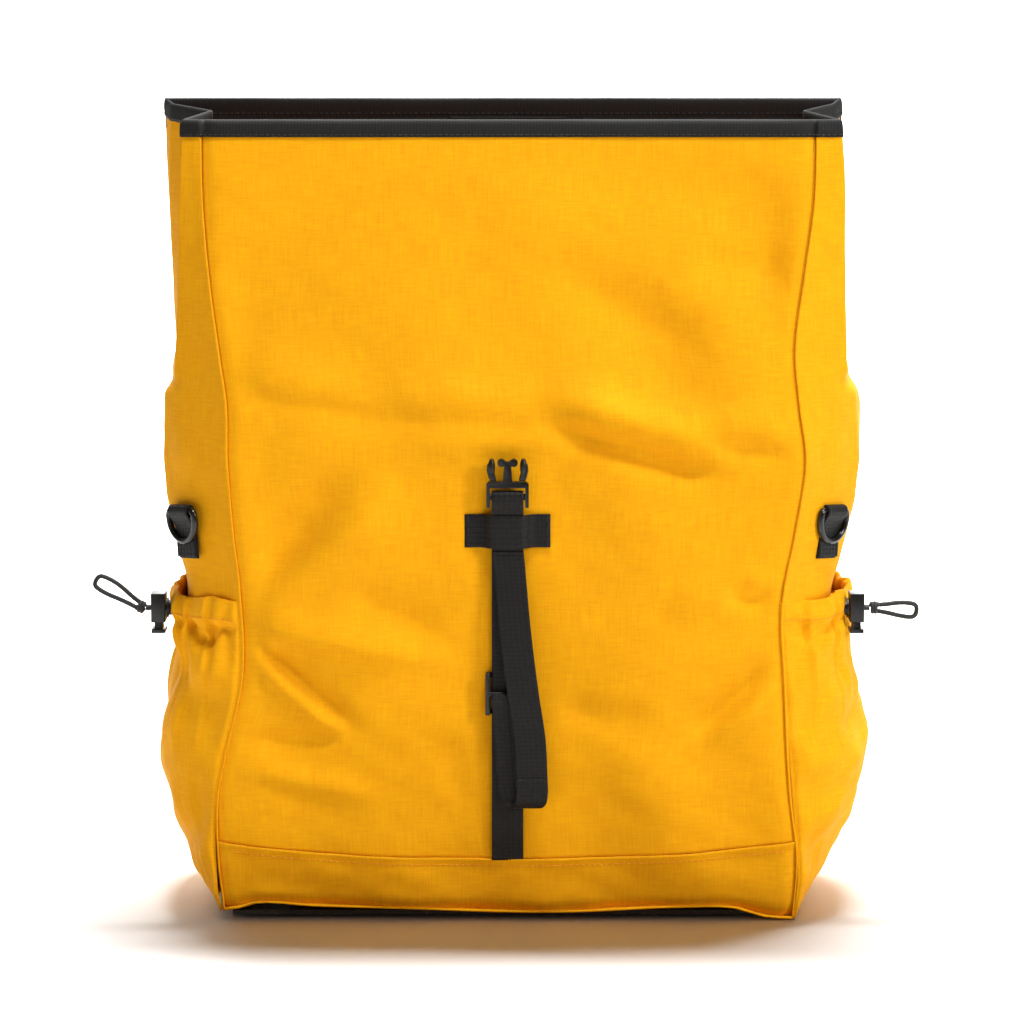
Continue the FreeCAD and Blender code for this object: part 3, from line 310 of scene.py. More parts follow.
def webbing_strip(name, path, sideways, outward, width, thickness=None, spacing=1.2 * MM):
    """A run of webbing along a path; the directions are given at the path's own points."""
    thickness = thickness or sizes().webbing
    path = np.asarray(path, float)
    walked = lengths_along(path)
    fine = resampled(path, spacing)
    stops = lengths_along(fine)
    stops *= walked[-1] / stops[-1]

    def carried(directions):
        directions = np.broadcast_to(np.asarray(directions, float), path.shape)
        moved = np.stack([np.interp(stops, walked, directions[:, axis])
                          for axis in range(3)], axis=1)
        return unit(moved)

    return swept(name, fine, carried(sideways), carried(outward),
                 webbing_profile(width, thickness))


def rounded(points, radius, steps=7):
    """A path with its corners turned into arcs: each corner becomes a quadratic curve between
    points a radius before and after it."""
    points = np.asarray(points, float)
    pieces = [points[:1]]
    for before, here, after in zip(points, points[1:], points[2:]):
        reach_in = min(radius, np.linalg.norm(here - before) * 0.49)
        reach_out = min(radius, np.linalg.norm(after - here) * 0.49)
        start = here - unit(here - before) * reach_in
        end = here + unit(after - here) * reach_out
        t = np.linspace(0, 1, steps)[:, None]
        pieces.append((1 - t) ** 2 * start + 2 * t * (1 - t) * here + t ** 2 * end)
    pieces.append(points[-1:])
    return np.concatenate(pieces)


def stitch_row(name, path, outward, length=None, gap=0.9 * MM, lift=0.12 * MM):
    """A row of stitches: short fat threads of eighteen faces each, end to end along a path."""
    length = length or sizes().stitch
    radius = sizes().thread / 2
    path = np.asarray(path, float)
    walked = lengths_along(path)
    pitch = length + gap
    count = max(int(walked[-1] / pitch), 1)
    middles = (np.arange(count) + 0.5) * walked[-1] / count
    outward = np.broadcast_to(np.asarray(outward, float), path.shape)

    def at(values, stops):
        return np.stack([np.interp(stops, walked, values[:, axis]) for axis in range(3)],
                        axis=1)

    centre = at(path, middles)
    along = unit(at(path, middles + length / 2) - at(path, middles - length / 2))
    out = unit(at(outward, middles))
    side = unit(np.cross(along, out))
    ring = np.arange(6) * math.pi / 3
    stations = np.array([-0.5, -0.36, 0.36, 0.5]) * length
    fatness = np.array([0.35, 1.0, 1.0, 0.35]) * radius
    dip = np.array([-0.9, 0.0, 0.0, -0.9]) * radius + lift
    body = (centre[:, None, None, :]
            + stations[None, :, None, None] * along[:, None, None, :]
            + (fatness[:, None] * np.cos(ring))[None, :, :, None] * side[:, None, None, :]
            + (fatness[:, None] * np.sin(ring) + dip[:, None])[None, :, :, None]
            * out[:, None, None, :])
    one = capped_faces(4, 6)
    faces = (one[None] + (np.arange(count) * 24)[:, None, None]).reshape(-1, 4)
    piece = make_mesh(name, body, faces)
    turn_outwards(piece)
    return piece


def joined(name, pieces):
    """Several finished meshes as one object."""
    points, faces, start = [], [], 0
    for piece in pieces:
        mesh = piece.data
        block = np.empty(len(mesh.vertices) * 3)
        mesh.vertices.foreach_get("co", block)
        index = np.empty(len(mesh.loops), int)
        mesh.loops.foreach_get("vertex_index", index)
        points.append(block.reshape(-1, 3))
        faces.append(index.reshape(-1, 4) + start)
        start += len(mesh.vertices)
        bpy.data.objects.remove(piece)
    return make_mesh(name, np.concatenate(points), np.concatenate(faces))


def finish(piece, body, material, slot, *replaced):
    """Puts a finished piece on its body and in its material; its slot is not used."""
    piece.data.materials.clear()
    piece.data.materials.append(material)
    if body:
        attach(piece, body)
    if replaced:
        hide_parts(*replaced)
    return piece


# ------------------------------------------------------------------ materials

def linear(hexadecimal):
    """An sRGB hex colour as linear red, green, blue and one."""
    text = hexadecimal.lstrip("#")
    channels = np.array([int(text[index:index + 2], 16) for index in (0, 2, 4)]) / 255.0
    low = channels / 12.92
    high = ((channels + 0.055) / 1.055) ** 2.4
    return tuple(np.where(channels <= 0.04045, low, high)) + (1.0,)


def node(tree, kind, links=(), **settings):
    """Adds a node; settings are its properties or sockets, links are (socket, source)."""
    made = tree.nodes.new(kind)
    for name, value in settings.items():
        if name.startswith("in_"):
            key = name[3:]
            socket = made.inputs[int(key)] if key.isdigit() else made.inputs[key.replace("_", " ")]
            socket.default_value = value
        else:
            setattr(made, name, value)
    for socket, source in links:
        tree.links.new(source, made.inputs[socket])
    return made


def new_material(name):
    """An empty material with its tree, shader and output."""
    material = bpy.data.materials.new(name)
    material.use_nodes = True
    tree = material.node_tree
    tree.nodes.clear()
    shader = node(tree, "ShaderNodeBsdfPrincipled")
    node(tree, "ShaderNodeOutputMaterial", [("Surface", shader.outputs[0])])
    return material, tree, shader


def ramp(tree, source, low, high, colour_a, colour_b):
    """A colour that goes from one to another as a value rises."""
    made = node(tree, "ShaderNodeValToRGB", [("Fac", source)])
    made.color_ramp.elements[0].position = low
    made.color_ramp.elements[0].color = colour_a
    made.color_ramp.elements[1].position = high
    made.color_ramp.elements[1].color = colour_b
    return made.outputs["Color"]


def amber_canvas():
    """Coated polyester canvas: a plain weave with thick and thin weft threads.

    It gives the eye fine horizontal slubs, a soft sheen at grazing angles and a colour that
    deepens between the threads.
    """
    material, tree, shader = new_material("amber coated canvas")
    pitch = sizes().weave
    uv = node(tree, "ShaderNodeUVMap", uv_map="cloth").outputs[0]

    def stretched(across, up, detail=2.0):
        mapping = node(tree, "ShaderNodeMapping", [("Vector", uv)], in_Scale=(across, up, 1.0))
        return node(tree, "ShaderNodeTexNoise", [("Vector", mapping.outputs[0])],
                    in_Scale=1.0, in_Detail=detail, in_Roughness=0.6).outputs[0]

    weft_slub = stretched(1 / (14 * MM), 1 / (0.9 * MM))
    warp_slub = stretched(1 / (0.9 * MM), 1 / (20 * MM))
    blotch = stretched(1 / (60 * MM), 1 / (45 * MM))

    def waves(direction):
        scaled = node(tree, "ShaderNodeMapping", [("Vector", uv)],
                      in_Scale=(1 / pitch / 10 * 1.6, 1 / pitch / 10 * 1.6, 1.0))
        return node(tree, "ShaderNodeTexWave", [("Vector", scaled.outputs[0])],
                    bands_direction=direction, in_Scale=1.0, in_Distortion=0.6,
                    in_Detail=1.0).outputs[1]

    across, up = waves("X"), waves("Y")
    weave = node(tree, "ShaderNodeMath", [(0, across), (1, up)], operation="MULTIPLY").outputs[0]
    slub = node(tree, "ShaderNodeMath", [(0, weft_slub), (1, warp_slub)],
                operation="ADD").outputs[0]
    half = node(tree, "ShaderNodeMath", [(0, slub)], operation="MULTIPLY", in_1=0.5).outputs[0]
    height = node(tree, "ShaderNodeMath", [(0, weave), (2, half)], operation="MULTIPLY_ADD",
                  in_1=0.22).outputs[0]
    deep = linear(colours().canvas_deep)
    bright = linear(colours().canvas)
    threads = ramp(tree, half, 0.34, 0.66, deep, bright)
    patches = ramp(tree, blotch, 0.3, 0.7, (0.975, 0.965, 0.94, 1), (1, 1, 1, 1))
    mixed = node(tree, "ShaderNodeMix", data_type="RGBA", blend_type="MULTIPLY")
    mixed.inputs[0].default_value = 1.0
    tree.links.new(threads, mixed.inputs[6])
    tree.links.new(patches, mixed.inputs[7])
    bump = node(tree, "ShaderNodeBump", [("Height", height)], in_Strength=0.35,
                in_Distance=0.35 * MM)
    tree.links.new(mixed.outputs[2], shader.inputs["Base Color"])
    tree.links.new(bump.outputs[0], shader.inputs["Normal"])
    shader.inputs["Roughness"].default_value = 0.8
    shader.inputs["Specular IOR Level"].default_value = 0.1
    shader.inputs["Sheen Weight"].default_value = 0.04
    shader.inputs["Sheen Roughness"].default_value = 0.5
    shader.inputs["Sheen Tint"].default_value = (1.0, 0.82, 0.5, 1.0)
    return material


def black_webbing():
    """Nylon webbing: ribs along it and a fine crosswise weft, with a dull silky gloss."""
    material, tree, shader = new_material("black nylon webbing")
    uv = node(tree, "ShaderNodeUVMap", uv_map="cloth").outputs[0]
    rib = sizes().rib
    scaled = node(tree, "ShaderNodeMapping", [("Vector", uv)],
                  in_Scale=(1 / rib / 10 * 1.6, 1 / (1.3 * MM) / 10 * 1.6, 1.0))
    ribs = node(tree, "ShaderNodeTexWave", [("Vector", scaled.outputs[0])],
                bands_direction="X", in_Scale=1.0).outputs[1]
    weft = node(tree, "ShaderNodeTexWave", [("Vector", scaled.outputs[0])],
                bands_direction="Y", in_Scale=1.0, in_Distortion=0.4).outputs[1]
    grain = node(tree, "ShaderNodeTexNoise", [("Vector", uv)], in_Scale=900.0,
                 in_Detail=2.0).outputs[0]
    both = node(tree, "ShaderNodeMath", [(0, ribs), (1, weft)], operation="ADD").outputs[0]
    height = node(tree, "ShaderNodeMath", [(0, both), (1, grain)], operation="ADD").outputs[0]
    base = linear(colours().webbing)
    light = tuple(min(1.0, 1.9 * value) for value in base[:3]) + (1.0,)
    colour = ramp(tree, node(tree, "ShaderNodeMath", [(0, height)], operation="MULTIPLY",
                             in_1=0.33).outputs[0], 0.3, 0.85, base, light)
    bump = node(tree, "ShaderNodeBump", [("Height", height)], in_Strength=0.5,
                in_Distance=0.25 * MM)
    tree.links.new(colour, shader.inputs["Base Color"])
    tree.links.new(bump.outputs[0], shader.inputs["Normal"])
    shader.inputs["Roughness"].default_value = 0.55
    shader.inputs["Specular IOR Level"].default_value = 0.25
    shader.inputs["Sheen Weight"].default_value = 0.02
    return material


def black_tape(name="black grosgrain tape", scale=1.0):
    """Grosgrain binding tape: fine crosswise ribs and a dull surface."""
    material, tree, shader = new_material(name)
    place = node(tree, "ShaderNodeUVMap", uv_map="cloth").outputs[0]
    scaled = node(tree, "ShaderNodeMapping", [("Vector", place)],
                  in_Scale=(scale / (1.0 * MM) / 10 * 1.6, scale / (1.0 * MM) / 10 * 1.6, 1.0))
    ribs = node(tree, "ShaderNodeTexWave", [("Vector", scaled.outputs[0])],
                bands_direction="X", in_Scale=1.0, in_Distortion=0.3).outputs[1]
    grain = node(tree, "ShaderNodeTexNoise", [("Vector", place)], in_Scale=700.0,
                 in_Detail=2.0).outputs[0]
    height = node(tree, "ShaderNodeMath", [(0, ribs), (1, grain)], operation="ADD").outputs[0]
    base = linear(colours().tape)
    light = tuple(min(1.0, 1.7 * value) for value in base[:3]) + (1.0,)
    colour = ramp(tree, node(tree, "ShaderNodeMath", [(0, height)], operation="MULTIPLY",
                             in_1=0.5).outputs[0], 0.25, 0.8, base, light)
    bump = node(tree, "ShaderNodeBump", [("Height", height)], in_Strength=0.4,
                in_Distance=0.2 * MM)
    tree.links.new(colour, shader.inputs["Base Color"])
    tree.links.new(bump.outputs[0], shader.inputs["Normal"])
    shader.inputs["Roughness"].default_value = 0.7
    shader.inputs["Specular IOR Level"].default_value = 0.3
    return material


def moulded(name, hexadecimal, roughness, grain_scale, depth):
    """Injection-moulded plastic: an even colour with a faint spark-eroded grain, so that its
    gloss breaks up a little."""
    material, tree, shader = new_material(name)
    place = node(tree, "ShaderNodeTexCoord").outputs["Object"]
    grain = node(tree, "ShaderNodeTexNoise", [("Vector", place)], in_Scale=grain_scale,
                 in_Detail=3.0).outputs[0]
    patches = node(tree, "ShaderNodeTexNoise", [("Vector", place)], in_Scale=180.0,
                   in_Detail=2.0).outputs[0]
    base = linear(hexadecimal)
    light = tuple(min(1.0, 1.5 * value) for value in base[:3]) + (1.0,)
    colour = ramp(tree, patches, 0.35, 0.75, base, light)
    rough = node(tree, "ShaderNodeMapRange", [("Value", grain)], in_3=roughness - 0.06,
                 in_4=roughness + 0.08).outputs[0]
    bump = node(tree, "ShaderNodeBump", [("Height", grain)], in_Strength=0.25,
                in_Distance=depth)
    tree.links.new(colour, shader.inputs["Base Color"])
    tree.links.new(rough, shader.inputs["Roughness"])
    tree.links.new(bump.outputs[0], shader.inputs["Normal"])
    shader.inputs["IOR"].default_value = 1.48
    return material


def thread_material(name, hexadecimal):
    """Bonded polyester thread: twisted, with a small gloss."""
    material, tree, shader = new_material(name)
    place = node(tree, "ShaderNodeTexCoord").outputs["Object"]
    twist = node(tree, "ShaderNodeTexNoise", [("Vector", place)], in_Scale=1600.0).outputs[0]
    base = linear(hexadecimal)
    light = tuple(min(1.0, 1.25 * value) for value in base[:3]) + (1.0,)
    tree.links.new(ramp(tree, twist, 0.3, 0.7, base, light), shader.inputs["Base Color"])
    shader.inputs["Roughness"].default_value = 0.55
    return material


def braided_cord():
    """Braided nylon sleeve over shock cord: crossing strands a millimetre apart."""
    material, tree, shader = new_material("black braided shock cord")
    place = node(tree, "ShaderNodeTexCoord").outputs["Object"]
    braid = node(tree, "ShaderNodeTexVoronoi", [("Vector", place)], in_Scale=1100.0)
    base = linear("#0C0C0C")
    light = linear("#1F1E1D")
    colour = ramp(tree, braid.outputs[0], 0.1, 0.7, light, base)
    bump = node(tree, "ShaderNodeBump", [("Height", braid.outputs[0])], in_Strength=0.6,
                in_Distance=0.25 * MM)
    tree.links.new(colour, shader.inputs["Base Color"])
    tree.links.new(bump.outputs[0], shader.inputs["Normal"])
    shader.inputs["Roughness"].default_value = 0.6
    shader.inputs["Sheen Weight"].default_value = 0.1
    return material


def spring_steel():
    """Drawn spring wire: bright metal with faint draw marks."""
    material, tree, shader = new_material("drawn spring wire")
    place = node(tree, "ShaderNodeTexCoord").outputs["Object"]
    marks = node(tree, "ShaderNodeTexNoise", [("Vector", place)], in_Scale=2500.0).outputs[0]
    tree.links.new(ramp(tree, marks, 0.3, 0.7, (0.42, 0.42, 0.43, 1), (0.62, 0.62, 0.64, 1)),
                   shader.inputs["Base Color"])
    shader.inputs["Metallic"].default_value = 1.0
    shader.inputs["Roughness"].default_value = 0.3
    return material


def black_brass():
    """A pressed eyelet under black lacquer."""
    material, tree, shader = new_material("black lacquered eyelet")
    place = node(tree, "ShaderNodeTexCoord").outputs["Object"]
    wear = node(tree, "ShaderNodeTexNoise", [("Vector", place)], in_Scale=400.0).outputs[0]
    tree.links.new(ramp(tree, wear, 0.4, 0.8, (0.012, 0.012, 0.012, 1), (0.05, 0.048, 0.045, 1)),
                   shader.inputs["Base Color"])
    shader.inputs["Metallic"].default_value = 0.6
    shader.inputs["Roughness"].default_value = 0.35
    return material


def air_mesh():
    """Three-dimensional spacer mesh: a black knit with a honeycomb of small holes."""
    material, tree, shader = new_material("black spacer mesh")
    uv = node(tree, "ShaderNodeUVMap", uv_map="cloth").outputs[0]
    cells = node(tree, "ShaderNodeTexVoronoi", [("Vector", uv)], in_Scale=1 / (2.6 * MM),
                 in_Randomness=0.15).outputs[0]
    colour = ramp(tree, cells, 0.12, 0.45, linear("#0C0C0C"), linear("#2B2A29"))
    bump = node(tree, "ShaderNodeBump", [("Height", cells)], in_Strength=0.7,
                in_Distance=0.5 * MM)
    tree.links.new(colour, shader.inputs["Base Color"])
    tree.links.new(bump.outputs[0], shader.inputs["Normal"])
    shader.inputs["Roughness"].default_value = 0.85
    return material


FINISHES = {}


def material_for(key):
    """Each finish, made once."""
    if key not in FINISHES:
        makers = {
            "canvas": amber_canvas,
            "webbing": black_webbing,
            "tape": black_tape,
            "hardware": lambda: moulded("black acetal, satin", colours().plastic, 0.34,
                                        1400.0, 0.04 * MM),
            "ring": lambda: moulded("black acetal, polished", "#101010", 0.16, 900.0,
                                    0.02 * MM),
            "amber_thread": lambda: thread_material("amber thread", colours().thread),
            "black_thread": lambda: thread_material("black thread", "#131313"),
            "cord": braided_cord,
            "spring": spring_steel,
            "eyelet": black_brass,
            "mesh": air_mesh,
            "sheet": lambda: moulded("black polythene sheet", "#1A1A1A", 0.5, 500.0,
                                     0.05 * MM),
        }
        FINISHES[key] = makers[key]()
    return FINISHES[key]


# ------------------------------------------------------------------ the bag's outline

# Height, then the plan of the five seam and crease lines of one side, in millimetres:
# front seam, front crease, middle, rear crease, back seam.
RIGHT_LINES = np.array([
    [0, 176, -76, 179, -46, 180, 0, 179, 46, 174, 76],
    [40, 178, -79, 185, -46, 188, 0, 186, 46, 178, 77],
    [72, 174, -79, 188, -46, 194, 0, 189, 46, 180, 77],
    [95, 172, -79, 190, -46, 196, 0, 191, 46, 181, 78],
    [150, 169, -79, 193, -46, 198, 0, 194, 46, 183, 78],
    [195, 167, -79, 197, -46, 202, 0, 199, 46, 184, 78],
    [240, 175, -79, 205, -46, 216, 0, 207, 45, 188, 75],
    [285, 181, -79, 210, -45, 219, 0, 211, 44, 192, 72],
    [318, 177, -74, 209, -45, 219, 0, 212, 44, 197, 67],
    [350, 174.5, -67, 207, -45, 208, 0, 211, 43, 203, 62],
    [400, 181, -56, 206, -43, 197, 0, 211, 39, 209, 54],
    [440, 186.5, -48, 206, -41, 190, 0, 210, 35, 212, 48],
    [489, 188, -40, 203, -37, 184, 0, 204, 30, 209.5, 40],
]) * MM
LEFT_LINES = np.array([
    [0, 175, -76, 178, -46, 179, 0, 178, 46, 174, 76],
    [40, 178, -79, 185, -46, 188, 0, 186, 46, 178, 77],
    [78, 178, -79, 188, -46, 194, 0, 189, 46, 180, 77],
    [101, 173.6, -79, 190, -46, 196, 0, 191, 46, 181, 78],
    [153, 162, -79, 191, -46, 198, 0, 193, 46, 183, 78],
    [205, 163, -79, 196, -46, 202, 0, 198, 46, 184, 77],
    [240, 167, -79, 203, -45, 210, 0, 204, 45, 188, 75],
    [285, 170, -78, 206, -45, 214, 0, 209, 44, 192, 72],
    [318, 170.5, -73, 205, -45, 213, 0, 210, 44, 198, 67],
    [345, 174.5, -67, 203, -45, 206, 0, 211, 43, 205, 62],
    [390, 181, -57, 201, -43, 198, 0, 212, 40, 212, 55],
    [440, 185.5, -48, 200, -41, 190, 0, 213, 35, 215, 48],
    [489, 186.5, -40, 198, -37, 184, 0, 210, 30, 215.5, 40],
]) * MM
LINES = {"right": RIGHT_LINES, "left": LEFT_LINES}
SIGN = {"right": 1.0, "left": -1.0}
TOP = 489 * MM
BACK_TOP = 500 * MM
FRONT_FACE = -79 * MM


def side_lines(side, heights):
    """The five lines of one side at given heights, as (height, line, x and y)."""
    table = LINES[side]
    plan = through(table[:, 0], table[:, 1:], heights).reshape(len(heights), 5, 2)
    plan = plan.copy()
    plan[..., 0] *= SIGN[side]
    return plan


def rim_rise(heights, share):
    """How far the cloth is lifted towards the back so that the back rim stands higher."""
    return smooth(330 * MM, TOP, heights) * share * (BACK_TOP - TOP)


def across_lines(plan, stations, crease):
    """Points across five lines at stations from 0 to 4.

    The sheet is a smooth curve through the lines where crease is 0 and goes straight from
    line to line where it is 1.
    """
    lines = np.arange(5.0)
    rows = plan.shape[0]
    flat = plan.transpose(1, 0, 2).reshape(5, -1)
    curved = through(lines, flat, stations).reshape(len(stations), rows, 2)
    place = np.clip(stations.astype(int), 0, 3)
    part = (stations - place)[:, None, None]
    by_line = plan.transpose(1, 0, 2)
    straight = by_line[place] * (1 - part) + by_line[place + 1] * part
    mix = crease[None, :, None]
    return (curved * (1 - mix) + straight * mix).transpose(1, 0, 2)


def creasing(heights):
    """How sharply the gusset is folded: not at all low down, fully towards the mouth."""
    return smooth(318 * MM, 348 * MM, heights)


def gusset_points(side, heights, stations):
    """The gusset's sheet at heights and stations."""
    plan = across_lines(side_lines(side, heights), stations, creasing(heights))
    share = np.interp(stations, [0, 1, 2, 3, 4], [0.0, 0.0, 0.4, 0.7, 1.0])
    lift = rim_rise(heights, 1.0)[:, None] * share[None, :]
    z = heights[:, None] + lift
    return np.concatenate([plan, z[..., None]], axis=-1)


# Folds of the front panel: from, to (x and z), height out of the panel, half width, kind.
# A ridge stands out, a valley lies in, and a step stands out above its line and in below it.
FRONT_FOLDS = [
    ("step", 22, 312, 132, 280, 3.4, 10),
    ("step", -90, 313, 30, 311, 1.6, 9),
    ("step", 120, 300, 178, 292, 1.4, 8),
    ("step", -165, 328, -85, 316, 1.2, 8),
    ("ridge", -80, 300, 40, 304, 2.2, 16),
    ("valley", -94, 288, -160, 198, 3.4, 14),
    ("ridge", -70, 262, -158, 196, 2.2, 12),
    ("valley", -98, 205, -40, 172, 2.6, 17),
    ("ridge", -156, 186, -40, 165, 2.8, 9),
    ("valley", -156, 178, -92, 118, 3.0, 8),
    ("ridge", -160, 170, -98, 114, 2.4, 7),
    ("valley", -160, 108, -95, 116, 1.6, 6),
    ("ridge", -166, 92, -80, 78, 1.6, 8),
    ("valley", -40, 120, -12, 60, 1.6, 14),
    ("valley", 112, 116, 162, 162, 2.6, 9),
    ("ridge", 122, 110, 172, 152, 1.6, 8),
    ("valley", 132, 206, 168, 198, 2.6, 8),
    ("ridge", 100, 196, 160, 214, 1.6, 12),
    ("valley", 20, 404, 122, 344, 2.6, 20),
    ("valley", 110, 400, 182, 398, 1.6, 12),
    ("ridge", -120, 420, -60, 330, 1.6, 26),
    ("ridge", 60, 120, 110, 60, 1.4, 20),
    ("valley", 30, 132, 90, 122, 1.4, 12),
]


def fold_relief(x, z, folds):
    """How far folds lift a sheet at each of its points.

    A ridge or valley is a bell across its line; a step is the slope of a bell, so the cloth
    above the line stands out over the cloth below it.  Both fade towards the line's ends.
    """
    total = np.zeros_like(x)
    for kind, x0, z0, x1, z1, height, half in folds:
        start = np.array([x0, z0]) * MM
        run = np.array([x1, z1]) * MM - start
        reach = np.linalg.norm(run)
        along = ((x - start[0]) * run[0] + (z - start[1]) * run[1]) / reach ** 2
        off = ((x - start[0]) * -run[1] + (z - start[1]) * run[0]) / reach
        if run[0] < 0:
            off = -off
        width = half * MM
        fade = smooth(-0.12, 0.3, along) * (1 - smooth(0.7, 1.12, along))
        across = off / width
        if kind == "step":
            shape = 1.65 * across * np.exp(-across ** 2 / np.where(across > 0, 4.0, 0.9))
        else:
            shape = np.exp(-across ** 2) * (1.0 if kind == "ridge" else -1.0)
        total += height * MM * fade * shape
    return total


def front_points(heights, stations):
    """The front panel's sheet between its two seams; stations run from -1 to 1."""
    left = side_lines("left", heights)[:, 0]
    right = side_lines("right", heights)[:, 0]
    share = (stations[None, :, None] + 1) / 2
    plan = left[:, None, :] * (1 - share) + right[:, None, :] * share
    x = plan[..., 0]
    y = plan[..., 1]
    z = np.broadcast_to(heights[:, None], x.shape).copy()
    inset = (1 - np.abs(stations))[None, :] * 178 * MM
    free = smooth(0.0, 26 * MM, inset)
    held = 1 - np.exp(-(x / (27 * MM)) ** 4) * smooth(30 * MM, 60 * MM, z) \
        * (1 - smooth(275 * MM, 300 * MM, z))
    relief = fold_relief(x, z, FRONT_FOLDS)
    relief += 1.5 * MM * cloudy(x, z, 190 * MM, 4) * smooth(300 * MM, 420 * MM, z)
    relief += 0.9 * MM * cloudy(x, z, 110 * MM, 11)
    relief += 0.08 * MM * cloudy(x, z, 26 * MM, 12)
    relief = 2.3 * relief
    swell = np.exp(-((np.abs(x) - 92 * MM) / (52 * MM)) ** 2)
    relief += 5.5 * MM * swell * smooth(48 * MM, 130 * MM, z) \
        * (1 - smooth(235 * MM, 312 * MM, z))
    y = y - relief * free * held
    pucker = np.exp(-(inset / (4.5 * MM)) ** 2)
    y = y + pucker * 2.0 * MM
    rim = smooth(TOP - 48 * MM, TOP - 12 * MM, z)
    y = y + relief * free * held * rim * 0.85
    return np.stack([x, y, z], axis=-1)


def flat_uv(points):
    """A cloth map in metres: the distance along each row from its middle, and the height."""
    steps = np.linalg.norm(np.diff(points, axis=1), axis=2)
    across = np.concatenate([np.zeros((points.shape[0], 1)), np.cumsum(steps, axis=1)], axis=1)
    across -= across[:, across.shape[1] // 2][:, None]
    return np.stack([across, points[..., 2]], axis=-1)


# How the lower edge of the bag stands off the floor, by place across it, in millimetres.
EDGE_PLACES = np.array([-180, -168, -158, -120, -60, 0, 40, 110, 140, 158, 180]) * MM
EDGE_LIFTS = np.array([6.0, 6.5, 10.0, 8.4, 6.6, 4.6, 4.6, 7.6, 7.0, 1.6, 0.4]) * MM


def base_lift(x):
    """How far the base's edge stands off the floor: it sags between its corners."""
    return through(EDGE_PLACES, EDGE_LIFTS, np.ravel(x)).reshape(np.shape(x))


def dropped_edge(points, reach):
    """Lifts the lowest part of a sheet so that its edge follows the base's slight arch."""
    near = 1 - smooth(0.0, reach, points[..., 2])
    points[..., 2] += base_lift(points[..., 0]) * near
    return points


# ------------------------------------------------------------------ operators: the pieces

class PieceOperator:
    """What every piece operator shares."""

    bl_options = {"REGISTER"}

    def execute(self, context):
        self.build()
        return {"FINISHED"}


